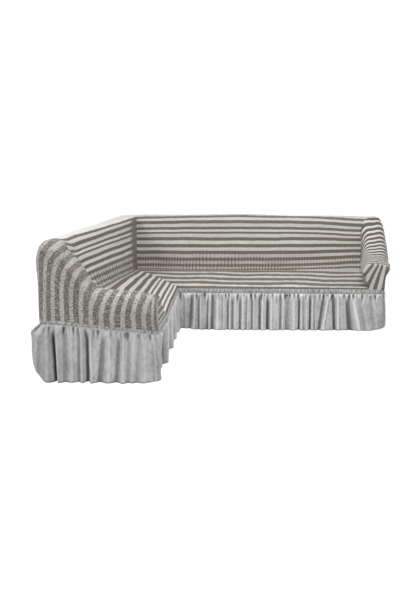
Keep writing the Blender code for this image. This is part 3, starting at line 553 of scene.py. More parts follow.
@dataclass
class Arm:
    """The cloth over one arm, from the seam with its section to the band.

    A tented arm's cloth rises straight from the seam to the crown; another arm's leans inwards.
    """

    section: Section
    seam: tuple
    flare: tuple
    top: tuple
    roll: float
    tented: bool = False
    lean: tuple = ()

    def __post_init__(self):
        self.top = smooth(self.top, 12)

    def seam_along(self, depth):
        return self.outside(depth, rounded=False) - line(self.seam, depth)

    def outside(self, depth, rounded=True):
        out = self.section.run - line(self.flare, depth)
        if rounded:
            short = np.clip(CORNER_ROUND - depth, 0.0, CORNER_ROUND)
            out = out - (CORNER_ROUND - np.sqrt(CORNER_ROUND**2 - short**2))
        return out

    def band_height(self, depth):
        rear = self.section.band_at(self.section.run, False)
        front = self.section.band_at(self.section.run, True)
        return rear + (front - rear) * depth / DEPTH

    def rear_cut(self):
        """Where the seam's slanting cut in the back face starts and ends, the band and its bend."""
        band = float(self.band_height(0.0))
        bend = WALL_TOP - WALL_CUT * (WALL_TOP - band)
        return float(self.seam_along(0.0)), float(self.outside(0.0)), band, bend

    def arch(self, depth, height, places):
        """One slice of the arm cloth, from the seam over the top to the band: along, height."""
        start = float(self.seam_along(depth))
        out = float(self.outside(depth))
        low = float(self.section.shape(start, depth, height)[1])
        top = low + 0.002
        if depth >= RIDGE_DEPTH:
            top = max(top, float(line(self.top, depth)))
        rise = top - low
        roll = self.roll * (0.6 + 0.4 * float(ease(0.1, 0.4, depth)))
        # Control points from the seam up to the crown, then down the outside to the band
        tuck, full = 0.0, out
        if self.tented:
            crown = max(out - 0.095, start + 0.3 * (out - start))
            wide = crown - start
            points = [
                (start, low),
                (start + 0.30 * wide, low + 0.15 * rise),
                (start + 0.60 * wide, low + 0.52 * rise),
                (start + 0.83 * wide, low + 0.90 * rise),
            ]
        else:
            tuck = float(ease(0.45, 0.78, depth))
            full += 0.019 * float(ease(0.12, 0.36, depth) - ease(0.60, 0.80, depth))
            lean = float(line(self.lean, depth))
            inner = start - lean
            crown = 0.5 * (inner + out)
            points = [
                (start, low),
                (start - 0.55 * lean + 0.004, low + 0.42 * rise),
                (inner + 0.006, low + 0.74 * rise),
                (crown - 0.62 * (crown - inner), low + 0.95 * rise),
            ]
        inset = 0.022 * float(ease(0.05, 0.30, depth)) + 0.016 * tuck
        points += [
            (crown, top),
            (crown + 0.62 * (full - crown), top - 0.17 * roll),
            (full, top - (0.80 - 0.42 * tuck) * roll),
            (full - (0.45 + 0.35 * tuck) * inset, top - (1.9 - 0.75 * tuck) * roll),
            (out - inset, float(self.band_height(depth))),
        ]
        return pick(smooth(points, SLICE_DENSE), places, SLICE_DENSE)

    def first_arch(self, places):
        """The slice that lies flat in the back face: a slanting cut, then straight down."""
        start, out, band, bend = self.rear_cut()
        rolled = float(self.section.shape(start, 0.0, WALL_TOP)[1])
        share = places / places[-1]
        turn = 0.72
        along = np.where(share < turn, start + (out - start) * share / turn, out)
        slant = rolled + (bend - rolled) * share / turn
        down = bend + (band - bend) * (share - turn) / (1.0 - turn)
        return np.stack([along, np.where(share < turn, slant, down)], axis=1)


RIGHT = Arm(LONG, RIGHT_SEAM, RIGHT_FLARE, RIGHT_ARM_TOP, roll=0.100, lean=RIGHT_LEAN)
LEFT = Arm(SHORT, LEFT_SEAM, LEFT_FLARE, LEFT_ARM_TOP, roll=0.110, tented=True)

# Where an arm's slices are read, in control points of an arch: its crown, its side and its end
CROWN_PLACE, SIDE_PLACE, LAST_PLACE = 4.0, 6.0, 8.0
CROWN_STEP, SIDE_STEPS = 46, 18
ARCH_PLACES = np.concatenate(
    [
        np.linspace(0.0, CROWN_PLACE, CROWN_STEP, endpoint=False),
        np.linspace(CROWN_PLACE, SIDE_PLACE, SIDE_STEPS, endpoint=False),
        np.linspace(SIDE_PLACE, LAST_PLACE, ARM_STEPS - CROWN_STEP - SIDE_STEPS),
    ]
)


def section_grid(arm, columns):
    """A section's cloth as along, depth and height, with its place on the plain cross-section."""
    section = arm.section
    share = np.linspace(0.0, 1.0, columns)
    zero = np.zeros(columns)
    grid, plain = [], []
    start, out, end, bend = arm.rear_cut()
    for level in np.linspace(0.0, 1.0, WALL_ROWS, endpoint=False):
        high = end + level * (WALL_TOP - end)
        stop = float(np.interp(high, (bend, WALL_TOP), (out, start)))
        along = SEAM + share * (stop - 2 * SEAM)
        band = section.band_at(along, False)
        height = band + level * (WALL_TOP - band)
        grid.append(np.stack([along, zero, height], axis=1))
        plain.append(np.stack([along, zero, height - WALL_TOP], axis=1))
    for (depth, height), girth in zip(PROFILE, PROFILE_GIRTH):
        stop = float(arm.seam_along(depth))
        along = depth + SEAM + share * (stop - 2 * SEAM - depth)
        deep, high = section.shape(along, depth, height)
        hang = float(ease(FRONT_LINE, DEPTH, depth))
        high = high + (section.band_at(along, True) - FRONT_ROLL[-1][1]) * hang
        grid.append(np.stack([along, deep, high], axis=1))
        plain.append(np.stack([along, depth + zero, girth + zero], axis=1))
    return np.array(grid), np.array(plain)


def drawn_to_corner(section, grid):
    """A section's grid with its cloth drawn to the inner corner of the L."""
    across, down = (0, 1) if section is LONG else (1, 0)
    y = SHORT_RUN - grid[..., down]
    share = np.clip((y - DRAW_START) / (DRAW_FULL - DRAW_START), 0.0, 1.0)
    out = grid.copy()
    out[..., across] += line(smooth(CORNER_DRAW), grid[..., across]) * share
    return out


def arm_grid(arm):
    """Rows along the depth, columns over the arch, with its place on the plain cross-section."""
    grid, plain = [], []
    zero = np.zeros(ARM_STEPS)
    for i, (depth, height) in enumerate(BODY_LINE):
        arch = arm.first_arch(ARCH_PLACES) if i == 0 else arm.arch(depth, height, ARCH_PLACES)
        moved = float(arm.section.shape(float(arm.seam_along(depth)), depth, height)[0])
        fade = np.exp(-np.linalg.norm(arch - arch[0], axis=1) / 0.06)
        grid.append(np.stack([arch[:, 0], depth + (moved - depth) * fade, arch[:, 1]], axis=1))
        plain.append(np.stack([travelled(arch), depth + zero, PROFILE_GIRTH[i] + zero], axis=1))
    grid = np.array(grid)
    grid[:, 0, 0] += SEAM
    grid[0, 1:, 0] += SEAM
    grid[-1, :, 1] -= SEAM
    return grid, np.array(plain)


def front_grid(arm, roll_edge):
    """Panel on the front of an arm: four sides filled across, then bulged forward."""
    depth, height = BODY_LINE[-1]
    arch = arm.arch(depth, height, np.linspace(0.0, LAST_PLACE, PANEL_POINTS))
    shoulder_in, shoulder_out = PANEL_SHOULDERS
    rows, columns = PANEL_ROWS, PANEL_COLUMNS
    right = spread(arch[shoulder_out:][::-1], rows)
    top = spread(arch[shoulder_in:shoulder_out + 1], columns)
    left = spread(np.concatenate([roll_edge[::-1][:, [0, 2]], arch[1:shoulder_in + 1]]), rows)
    foot = np.linspace(left[0], right[0], columns)
    v = np.linspace(0.0, 1.0, rows)[:, None, None]
    u = np.linspace(0.0, 1.0, columns)[None, :, None]
    # The panel seen from the front, filled between its foot, its sides and its top
    sides = (1 - u) * left[:, None] + u * right[:, None]
    ends = (1 - v) * foot[None] + v * top[None]
    low = (1 - u) * foot[0] + u * foot[-1]
    high = (1 - u) * top[0] + u * top[-1]
    flat = sides + ends - (1 - v) * low - v * high
    # How far forward: steeply up from its rim, and from the section's rolled edge at its inner side
    rim = np.minimum(np.minimum(u, 1 - u) / PANEL_RIM, (1 - v) / 0.10)[..., 0]
    swell = np.clip(rim, 0.0, 1.0)
    bulge = DEPTH + PANEL_BULGE - FRONT_LINE
    belly = FRONT_LINE + SEAM + bulge * np.sqrt(1.0 - (1.0 - swell) ** 2)
    near_roll = np.interp(flat[:, 0, 1], roll_edge[::-1, 2], roll_edge[::-1, 1])
    edge = np.where(flat[:, 0, 1] < roll_edge[0, 2], near_roll, FRONT_LINE + SEAM)
    to_roll = (edge - belly[:, 0])[:, None] * np.clip(1.0 - u[..., 0] / PANEL_RIM, 0.0, 1.0)
    deep = belly + to_roll * (v[..., 0] < 0.2)
    flat[:, 0, 0] += 2 * SEAM
    return np.stack([flat[..., 0], deep, flat[..., 1]], axis=-1)


def to_long(grid):
    """The long section's cloth in the cover's own corner coordinates."""
    out = grid.copy()
    out[..., 1] = SHORT_RUN - grid[..., 1]
    return out


def to_short(grid):
    """The short section's cloth there, spread and drawn up at the foot of its rear corner."""
    x, y, z = grid[..., 1], SHORT_RUN - grid[..., 0], grid[..., 2]
    foot, free = FOOT_LEVELS
    low = np.clip((free - z) / (free - foot), 0.0, 1.0)
    from_corner = x**2 + y**2
    outwards = FOOT_SPREAD * low * np.exp(-from_corner / SPREAD_REACH**2)
    upwards = FOOT_DRAWN_UP * low * np.exp(-from_corner / DRAWN_REACH**2)
    return np.stack([x - outwards, y, z + upwards], axis=-1)


def round_corner(points):
    """Pulls the outer rear corner of the L in to a rounded edge."""
    out = points.copy()
    dx = CORNER_ROUND - points[..., 0]
    dy = CORNER_ROUND - (SHORT_RUN - points[..., 1])
    near_edge = (dx > 0) & (dy > 0)
    span = np.maximum(np.hypot(dx, dy), 1e-9)
    pull = np.where(near_edge, np.maximum(dx, dy) / span, 1.0)
    out[..., 0] = np.where(near_edge, CORNER_ROUND - dx * pull, points[..., 0])
    out[..., 1] = np.where(near_edge, SHORT_RUN - (CORNER_ROUND - dy * pull), points[..., 1])
    return out


def lifted(grid, away, middle=slice(None)):
    """Moves every point of a cloth outwards by its amount; outwards is up in the middle columns."""
    normal = np.cross(np.gradient(grid, axis=1), np.gradient(grid, axis=0))
    normal /= np.maximum(np.linalg.norm(normal, axis=-1, keepdims=True), 1e-12)
    side = np.sign(np.median(normal[len(grid) // 2, middle, 2]) + 1e-9)
    return grid + (away * side)[..., None] * normal


CORNER_X = float(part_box("short_section_cloth")[0][0])
CORNER_Y = float(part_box("long_section_cloth")[1][1]) - SHORT_RUN
PLACE = np.array([CORNER_X, CORNER_Y, -LOWEST_HEM])


def cloth_piece(name, grid, counts, look, amounts, closed=False, split=None, outward=1.0):
    """A sheet of cloth from a grid of points in the cover's own corner coordinates.

    counts holds every point's place along the ribs and its stripe count. Where split names a
    column, counts holds two such sets: one for the faces before it and one for those after it.
    """
    rows, columns = grid.shape[:2]
    last = columns if closed else columns - 1
    i, j = np.meshgrid(np.arange(rows - 1), np.arange(last), indexing="ij")
    a = (i * columns + j).ravel()
    b = (i * columns + (j + 1) % columns).ravel()
    faces = np.stack([a, b, b + columns, a + columns], axis=1)
    if outward < 0:
        faces = faces[:, ::-1]
    mesh = bpy.data.meshes.new(name)
    mesh.vertices.add(rows * columns)
    mesh.vertices.foreach_set("co", (grid + PLACE).ravel())
    mesh.loops.add(faces.size)
    mesh.loops.foreach_set("vertex_index", faces.ravel())
    mesh.polygons.add(len(faces))
    mesh.polygons.foreach_set("loop_start", np.arange(0, faces.size, 4))
    mesh.update(calc_edges=True)
    mesh.polygons.foreach_set("use_smooth", np.ones(len(faces), bool))
    if split:
        first, second = (part.reshape(-1, 2)[faces] for part in counts)
        pairs = np.where((j.ravel() >= split)[:, None, None], second, first)
    else:
        pairs = counts.reshape(-1, 2)[faces]
    mesh.uv_layers.new(name="cloth").data.foreach_set("uv", pairs.ravel())
    for label, values in amounts:
        amount = mesh.attributes.new(label, "FLOAT", "POINT")
        amount.data.foreach_set("value", np.ascontiguousarray(values, float).ravel())
    mesh.materials.append(look)
    piece = bpy.data.objects.new(name, mesh)
    bpy.context.scene.collection.objects.link(piece)
    return piece


def plug(node, **values):
    """Fills a node's inputs, called by their names or their places: i0, i1 and so on."""
    for key, value in values.items():
        place = int(key[1:]) if key[0] == "i" and key[1:].isdigit() else key.replace("_", " ")
        if isinstance(value, Flow):
            node.id_data.links.new(value.socket, node.inputs[place])
        else:
            node.inputs[place].default_value = value


class Flow:
    """A value passing through a material's nodes, so that its maths reads as plain expressions."""

    def __init__(self, tree, socket):
        self.tree = tree
        self.socket = socket

    def node(self, kind, settings=None, out=0, **values):
        made = self.tree.nodes.new(kind)
        for key, value in (settings or {}).items():
            setattr(made, key, value)
        plug(made, **values)
        return Flow(self.tree, made.outputs[out])

    def maths(self, operation, *others):
        values = {f"i{k}": value for k, value in enumerate((self, *others))}
        return self.node("ShaderNodeMath", {"operation": operation}, **values)

    def __add__(self, other):
        return self.maths("ADD", other)

    __radd__ = __add__

    def __mul__(self, other):
        return self.maths("MULTIPLY", other)

    __rmul__ = __mul__

    def __sub__(self, other):
        return self.maths("SUBTRACT", other)

    def __rsub__(self, other):
        return (self * -1.0).maths("ADD", other)

    def between(self, low, high):
        """0 below low, 1 above high and smooth between."""
        settings = {"interpolation_type": "SMOOTHSTEP"}
        return self.node("ShaderNodeMapRange", settings, i0=self, i1=low, i2=high)

    def mixed(self, first, second):
        """Colour first where this value is 0 and second where it is 1."""
        settings = {"data_type": "RGBA"}
        return self.node("ShaderNodeMix", settings, out=2, i0=self, i6=first, i7=second)


class Cloth:
    """A material for cloth, with the parts that all the cloths here share."""

    def __init__(self, name, roughness):
        self.made = bpy.data.materials.new(name)
        self.made.use_nodes = True
        tree = self.made.node_tree
        self.shader = tree.nodes["Principled BSDF"]
        plug(self.shader, Roughness=roughness, Specular_IOR_Level=0.25, Sheen_Weight=0.15)
        self.start = Flow(tree, None)
        self.place = self.start.node("ShaderNodeTexCoord", out=3)

    def noise(self, scale, detail=2.0, stretch=(1.0, 1.0, 1.0)):
        place = self.start.node("ShaderNodeMapping", Vector=self.place, Scale=stretch)
        return self.start.node("ShaderNodeTexNoise", Vector=place, Scale=scale, Detail=detail)

    def by_chance(self, number):
        """A value of its own for every whole number."""
        return self.start.node("ShaderNodeTexWhiteNoise", {"noise_dimensions": "1D"}, W=number)

    def amount(self, label):
        return self.start.node("ShaderNodeAttribute", {"attribute_name": label}, out=2)

    def finish(self, colour, *bumps):
        """Gives the shader its colour and its bumps: each a height, a distance and a strength."""
        inputs = {}
        for height, distance, strength in bumps:
            inputs.update(Height=height, Distance=distance, Strength=strength)
            inputs["Normal"] = self.start.node("ShaderNodeBump", **inputs)
        plug(self.shader, Base_Color=colour, Normal=inputs["Normal"])
        return self.made


def rgb(red, green, blue):
    """A colour from its 0 to 255 screen values."""
    parts = [(value / 255.0) ** 2.2 for value in (red, green, blue)]
    return (*parts, 1.0)


def striped_cotton():
    """Puckered cotton with dark and pale stripes, counted on the cloth's own map."""
    cloth = Cloth("striped_cotton", 0.86)
    mapped = cloth.start.node("ShaderNodeUVMap", {"uv_map": "cloth"})
    along = mapped.node("ShaderNodeSeparateXYZ", Vector=mapped)
    count = mapped.node("ShaderNodeSeparateXYZ", out=1, Vector=mapped)
    pucker = cloth.noise(150.0)
    weave = cloth.noise(620.0, 1.0)
    broad = cloth.noise(9.0)

    # Dark and pale stripes, each with a tone of its own
    wavering = (cloth.noise(60.0) - 0.5) * 0.10
    dark = 1.0 - (count + wavering).maths("PINGPONG", 0.5).between(0.22, 0.28)
    number = cloth.by_chance((count + 0.5).maths("FLOOR"))
    pale_number = cloth.by_chance(count.maths("FLOOR") + 40.5)
    taupe = number.between(0.2, 0.8).mixed(rgb(108, 97, 88), rgb(98, 97, 86))
    cream = pale_number.between(0.2, 0.8).mixed(rgb(220, 216, 209), rgb(206, 206, 204))
    speck = pucker.between(0.38, 0.66)
    taupe = (speck * 0.40).mixed(taupe, rgb(140, 132, 122))
    cream = (speck * 0.35).mixed(cream, rgb(184, 180, 176))

    # Blots of the mottled knit, painted shade greying pale stripes, bolder stripes, painted
    # highlight
    mottle = cloth.amount("mottle")
    blots = cloth.noise(125.0, 1.0, (0.5, 1.0, 1.9))
    pale_blots = blots.between(0.50, 0.60) * mottle
    dull_blots = blots.between(0.50, 0.38) * mottle
    taupe = (pale_blots * 0.70).mixed(taupe, rgb(186, 184, 180))
    # Pale stripes greyed by the mottled amount, most on the left arm's outside: painted shade of
    # that face
    cream = (mottle * 0.22).mixed(cream, rgb(150, 147, 143))
    cream = (dull_blots * 0.75).mixed(cream, rgb(112, 110, 108))
    # Bolder stripes: dark ones darker, pale ones brightened to white as painted highlight where
    # strongest
    bold = cloth.amount("bold") * 0.7
    taupe = bold.mixed(taupe, rgb(72, 64, 58))
    cream = bold.mixed(cream, rgb(250, 249, 246))

    # Painted light and shade of fine ribs across the stripes, and painted shade
    rib_light_and_shade = cloth.amount("ribs")
    drift = cloth.noise(5.0) * 7.0
    rib = (along * (2.0 * math.pi / RIB_PITCH) + drift).maths("SINE")
    taupe = (rib.between(0.1, -0.8) * rib_light_and_shade * 0.62).mixed(taupe, rgb(176, 170, 164))
    colour = dark.mixed(cream, taupe)
    colour = (cloth.amount("shade") * 0.93).mixed(colour, rgb(111, 101, 94))
    colour = (rib.between(-0.2, 0.8) * rib_light_and_shade * 0.58).mixed(colour, rgb(82, 74, 68))
    colour = ((broad - 0.5) * 0.25 + 0.06).mixed(colour, rgb(120, 112, 106))
    return cloth.finish(colour, (pucker, 0.004, 0.55), (weave, 0.001, 0.35))


def grey_cotton(name, plain, deep, pale, pucker_scale, pucker_depth):
    """Plain crinkled grey cotton: painted shade in its gathers' hollows, painted highlight on their
    crests.
    """
    cloth = Cloth(name, 0.84)
    pucker = cloth.noise(pucker_scale)
    weave = cloth.noise(700.0, 1.0)
    crinkle = cloth.noise(52.0, 3.0, (1.0, 1.0, 0.6))
    broad = cloth.noise(11.0, 3.0, (1.0, 1.0, 0.5))
    # Darker in broad random patches, and painted shade where the crinkles' bumps are low
    tone = broad * 0.5 + crinkle * 0.5
    darker_grey = tuple(0.74 * part for part in plain[:3]) + (1.0,)
    colour = tone.between(0.60, 0.38).mixed(plain, darker_grey)
    # Painted shade in hollows and painted highlight on crests, by the amounts on the cloth
    colour = (cloth.amount("hollow") * 0.84).mixed(colour, deep)
    colour = (cloth.amount("crest") * 0.72).mixed(colour, pale)
    bumps = (crinkle, 0.016, 0.5), (pucker, pucker_depth, 0.5), (weave, 0.0008, 0.4)
    return cloth.finish(colour, *bumps)


STRIPED = striped_cotton()
# Each grey: its plain colour, the painted shade of its hollows and the painted highlight of its
# crests
BAND_LOOK = grey_cotton(
    "gathered_grey_cotton", rgb(180, 179, 179), rgb(116, 115, 114), rgb(220, 219, 219), 190.0, 0.004
)
SKIRT_LOOK = grey_cotton(
    "grey_cotton", rgb(200, 200, 202), rgb(72, 72, 74), rgb(244, 244, 246), 90.0, 0.0016
)


def wrinkled(grid, plain, seed, size):
    """How far small wrinkles move each point of a striped cloth, less at its edges."""
    wide = Ripples(seed, 0.05, 0.16)
    small = Ripples(seed + 1, 0.018, 0.045)
    x, y = plain[..., 0], plain[..., 2]
    away = size * (0.65 * wide.at(x, y) + 0.45 * small.at(x * 0.8, y * 1.2))
    rows, columns = grid.shape[:2]
    i = np.arange(rows)[:, None]
    j = np.arange(columns)[None, :]
    edge = np.minimum(np.minimum(i, rows - 1 - i), np.minimum(j, columns - 1 - j))
    return away * ease(0.0, 1.0, edge / EDGE_STEPS)


def striped_piece(name, grid, counts, outward, split=None, **marks):
    """A sheet of the striped cloth; its marks: ribs, painted shade, mottled knit with painted
    shade, bolder stripes with painted highlight.
    """
    plain = {"ribs": 0.0, "shade": 0.0, "mottle": 0.15, "bold": 0.0}
    every = np.zeros(grid.shape[:2])
    amounts = [(label, value + every) for label, value in {**plain, **marks}.items()]
    return cloth_piece(name, grid, counts, STRIPED, amounts, split=split, outward=outward)


def low_back(along, girth):
    """1 low on the inner side of a back, where it has fine ribs and gathers, and 0 elsewhere."""
    low = ease(0.60, 0.72, girth) * (1.0 - ease(0.815, 0.830, girth))
    return low * ease(0.24, 0.36, along) * (1.0 - 0.45 * ease(1.60, 2.10, along))


def section_piece(name, arm, columns, place, seed, outward):
    """The striped cloth of one section."""
    section = arm.section
    grid, plain = section_grid(arm, columns)
    grid = drawn_to_corner(section, grid)
    along, depth, girth = np.moveaxis(plain, -1, 0)
    waver = Ripples(seed + 7, 0.20, 0.70).at(along, girth) * 0.0009
    count = section.stripe_count(along, depth, girth) + waver / PITCH
    ribs = low_back(along, girth)
    gathers = Ripples(seed + 3, 0.025, 0.050, 30).at(along, 0.12 * girth)
    away = wrinkled(grid, plain, seed, WRINKLE) + RIB * gathers * ribs
    away[0], away[-1] = 0.0, 0.0
    grid = lifted(grid, away)
    # Painted shade low on the inner side of the back and in the crease at the seat
    crease = 0.38 * ease(0.815, 0.825, girth) * (1.0 - ease(0.36, 0.42, depth))
    shade = np.maximum(0.42 * ribs, crease)
    bold = 0.0
    if section is SHORT:
        # Painted shade down the back near the inner corner of the L
        on_back = ease(0.262, 0.29, girth) * (1.0 - ease(0.80, 0.83, girth))
        shade = np.maximum(shade, (1.0 - ease(0.14, 0.30, along - depth)) * on_back)
        # Most on the top roll of the back: painted highlight on its pale stripes
        bold = 0.38 + 0.37 * (1.0 - ease(0.250, 0.270, girth))
    else:
        patches = Ripples(seed + 4, 0.12, 0.40).at(along, 2.0 * girth)
        ribs = ribs * (0.62 + 0.38 * np.clip(patches, -1.0, 1.0))
    counts = np.stack([along * section.rib_stretch, count], axis=-1)
    points = round_corner(place(grid))
    return striped_piece(name, points, counts, outward, ribs=ribs, shade=shade, bold=bold), grid


def widened(count, share):
    """A stripe count whose dark stripes take this share of the way from one to the next."""
    whole = np.round(count)
    off = np.abs(count - whole)
    half = 0.5 * share
    off = np.where(off < half, off * 0.25 / half, 0.25 + (off - half) * 0.25 / (0.5 - half))
    return whole + np.sign(count - whole) * off


def middles_at(table, height, before, after):
    """Middles of a table's dark stripes at each height, with more whole stripes on both sides."""
    heights, middles = zip(*table)
    middles = read(heights, np.array(middles), height.ravel())
    first = middles[:, :1] - PITCH * np.arange(before, 0, -1)
    last = middles[:, -1:] + PITCH * np.arange(1, after + 1)
    return np.concatenate([first, middles, last], axis=1)


def end_count(depth, height):
    """Stripe count on the outside of an arm: nested arches that stand upright on the band."""
    before = 3
    lines = middles_at(END_DARK, height, before, 8)
    deep = depth.ravel()
    index = np.clip((lines < deep[:, None]).sum(axis=1), 1, lines.shape[1] - 1)
    every = np.arange(len(deep))
    low, high = lines[every, index - 1], lines[every, index]
    count = index - before + (deep - low) / np.maximum(high - low, 1e-6)
    return widened(count, END_DARK_SHARE).reshape(depth.shape)


def inner_count(grid, plain):
    """Stripe count inside the left arm, between its seam with the section and its crown."""
    step, depth, girth = np.moveaxis(plain, -1, 0)
    fall = grid[..., 1] - grid[..., 2]
    seam_count = np.zeros(len(grid))
    for i, at in enumerate(LEFT.seam_along(depth[:, 0])):
        past = at - depth[i, 0] if depth[i, 0] >= CREASE_DEPTH else 0.0
        seam_count[i] = np.interp(girth[i, 0], *SHORT.stripe_edges(at, past))
    numbers = np.arange(-6.0, len(LEFT_CROWN_DARK) + 1.0)
    seam_fall = np.interp(numbers, seam_count, fall[:, 0])
    crown_fall = np.interp(LEFT_CROWN_DARK, depth[:, 0], fall[:, CROWN_STEP])
    rear_fall = crown_fall[0] + PITCH * 0.9 * np.arange(-7, 0)
    crown_fall = np.concatenate([rear_fall, crown_fall])
    count = np.zeros_like(depth)
    for j in range(CROWN_STEP + 1):
        share = step[:, j:j + 1] / np.maximum(step[:, CROWN_STEP:CROWN_STEP + 1], 1e-6)
        lines = (1.0 - share) * seam_fall + share * crown_fall
        count[:, j] = [np.interp(f, row, numbers) for f, row in zip(fall[:, j], lines)]
    rear = 1.0 - ease(0.13, 0.16, depth)
    return rear * seam_count[:, None] + (1.0 - rear) * count


def left_arm():
    """The arm at the free end: tented inside, its stripes upright on the end."""
    grid, plain = arm_grid(LEFT)
    step, depth, _ = np.moveaxis(plain, -1, 0)
    inner = inner_count(grid, plain)
    outer = end_count(grid[..., 1], grid[..., 2]) + 0.02
    from_crown = step - step[:, CROWN_STEP:CROWN_STEP + 1]
    lump = ARM_LUMP * np.exp(-((from_crown / 0.006) ** 2)) * ease(0.10, 0.16, depth)
    pinch = np.sin(2.0 * math.pi * depth / PINCH_PITCH + 40.0 * from_crown)
    pinch = ARM_PINCH * pinch * np.exp(-np.abs(from_crown) / 0.035) * ease(0.10, 0.2, depth)
    away = wrinkled(grid, plain, 41, WRINKLE) + lump + pinch
    away[-1] = 0.0
    grid = lifted(grid, away, slice(CROWN_STEP))
    counts = [
        np.stack([grid[..., 0], inner], axis=-1),
        np.stack([grid[..., 2], outer], axis=-1),
    ]
    # Past the crown seam: painted light and shade of fine ribs, fading outwards
    ribs = np.where(from_crown < 0.0, 0.0, 0.40 * np.exp(-np.maximum(from_crown, 0.0) / 0.018))
    # Mottled knit on the arm's outside, with its pale stripes greyed there as painted shade
    mottled_and_shaded = ease(-0.03, 0.01, from_crown)
    name = "left_arm_striped_cloth"
    place = to_short(grid)
    return striped_piece(name, place, counts, 1.0, CROWN_STEP, ribs=ribs, mottle=mottled_and_shaded), grid


def right_arm():
    """The arm at the end of the long section, its top stripes running into its wall's."""
    grid, plain = arm_grid(RIGHT)
    step, depth, _ = np.moveaxis(plain, -1, 0)
    past_crown = step - step[:, CROWN_STEP:CROWN_STEP + 1]
    outwards = np.clip(past_crown / 0.12, 0.0, 1.0)
    numbers = np.arange(len(RIGHT_TOP_DARK)) - 1.0
    top = np.interp(depth + 0.030 * outwards, RIGHT_TOP_DARK, numbers)
    wall = end_count(grid[..., 1], np.minimum(grid[..., 2], 0.60))
    share = ease(0.12, 0.40, past_crown)
    count = (1.0 - share) * widened(top, TOP_DARK_SHARE) + share * wall
    away = wrinkled(grid, plain, 61, RIGHT_WRINKLE)
    away[-1] = 0.0
    grid = lifted(grid, away, slice(30, 60))
    counts = np.stack([grid[..., 0], count], axis=-1)
    return striped_piece("right_arm_striped_cloth", to_long(grid), counts, -1.0, bold=0.4), grid


def front_count(along, height):
    """Stripe count on the right arm's front panel."""
    middles = middles_at(RIGHT_FRONT_DARK, height, 1, 1)
    numbers = np.arange(middles.shape[1])
    count = [np.interp(a, row, numbers) for a, row in zip(along.ravel(), middles)]
    return np.reshape(count, along.shape)


def left_front_count(across, forward, height):
    """The end's stripes turn the corner upright; past that the seat's run on across the panel."""
    upright = np.interp(forward, *LEFT_FRONT_UPRIGHT)
    level = np.interp(height, *LEFT_FRONT_LEVEL)
    return np.where(across < LEFT_FRONT_EDGE, upright, level)


def arm_front(name, arm, section_points, place, outward):
    """The panel on the front of an arm."""
    grid = front_grid(arm, section_points[-(FRONT_ROWS + 1):, -1])
    across = arm.section.run - grid[..., 0]
    if arm is RIGHT:
        count = front_count(grid[..., 0], grid[..., 2])
        mottled_and_shaded = 0.15
    else:
        count = left_front_count(across, grid[..., 1], grid[..., 2])
        # Its outer strip goes on from the arm's outside: mottled knit and painted shade
        mottled_and_shaded = 0.15 + 0.85 * (1.0 - ease(0.050, 0.090, across))
    counts = np.stack([grid[..., 2], count], axis=-1)
    return striped_piece(name, place(grid), counts, outward, mottle=mottled_and_shaded), grid


def plan_loop(long_grid, right_grid, right_front, short_grid, left_grid, left_front):
    """Lower edge of all the panels, once round, seen from above clockwise from the outer corner."""
    long_part = to_long(long_grid)
    short_part = to_short(short_grid)
    parts = [
        long_part[0, :-1],
        to_long(right_grid)[:, -1],
        to_long(right_front)[0, ::-1][1:-1],
        long_part[-1, ::-1][:-1],
        short_part[-1, 1:],
        to_short(left_front)[0, 1:-1],
        to_short(left_grid)[::-1, -1],
        short_part[0, ::-1][1:-1],
    ]
    return round_corner(np.concatenate(parts))


class Loop:
    """A closed line round the sofa that can be read at any distance along it."""

    def __init__(self, points):
        closed = np.concatenate([points, points[:1]])
        at = travelled(closed[:, :2])
        count = int(round(at[-1] / LOOP_SPACING))
        path = read(at, closed, np.linspace(0.0, at[-1], count, endpoint=False))
        for _ in range(LOOP_SMOOTHING):
            path = 0.5 * path + 0.25 * (np.roll(path, 1, axis=0) + np.roll(path, -1, axis=0))
        self.path = path
        self.at = travelled(np.concatenate([path, path[:1]])[:, :2])
        self.length = self.at[-1]
        ahead = np.roll(path, -1, axis=0)[:, :2] - np.roll(path, 1, axis=0)[:, :2]
        ahead = ahead / np.linalg.norm(ahead, axis=1, keepdims=True)
        self.out = np.stack([-ahead[:, 1], ahead[:, 0]], axis=1)

    def values(self, own, distance):
        """Values that belong to the line's own points, at each of the distances."""
        closed = np.concatenate([own, own[:1]])
        return read(self.at, closed, np.mod(distance, self.length))

    def places(self, count):
        """Even distances round the line, with the points and the outward directions there."""
        distance = np.linspace(0.0, self.length, count, endpoint=False)
        out = self.values(self.out, distance)
        out = out / np.linalg.norm(out, axis=1, keepdims=True)
        return distance, self.values(self.path, distance), out

    def nearest(self, x, y):
        gap = np.hypot(self.path[:, 0] - x, self.path[:, 1] - y)
        return self.at[int(np.argmin(gap))]

    def apart(self, distance, place):
        """Signed distance along the loop from a place to each of the distances."""
        half = 0.5 * self.length
        return np.mod(distance - place + half, self.length) - half


class Strip:
    """A closed strip of grey cloth that hangs from the loop, made row by row."""

    def __init__(self, loop, count):
        self.distance, self.base, self.out = loop.places(count)
        self.rows, self.hollows, self.crests = [], [], []

    def row(self, away, height, hollow, crest):
        """Adds a row that stands this far out, at this height, with amounts of painted shade and
        highlight.
        """
        points = self.base[:, :2] + away[:, None] * self.out
        self.rows.append(np.column_stack([points, height]))
        self.hollows.append(hollow)
        self.crests.append(crest)

    def piece(self, name, look):
        grid = np.array(self.rows)
        along = np.broadcast_to(self.distance, grid.shape[:2])
        counts = np.stack([along, grid[..., 2]], axis=-1)
        amounts = (("hollow", np.array(self.hollows)), ("crest", np.array(self.crests)))
        return cloth_piece(name, grid, counts, look, amounts, closed=True)


def band_wide(loop, distance):
    """Width of the gathered band, narrower across the free end."""
    from_middle = np.abs(loop.apart(distance, loop.nearest(0.5 * DEPTH, 0.0)))
    across_end = 1.0 - ease(0.5 * DEPTH - 0.08, 0.5 * DEPTH + 0.03, from_middle)
    return BAND_WIDE * (1.0 - (1.0 - END_BAND_SHARE) * across_end)


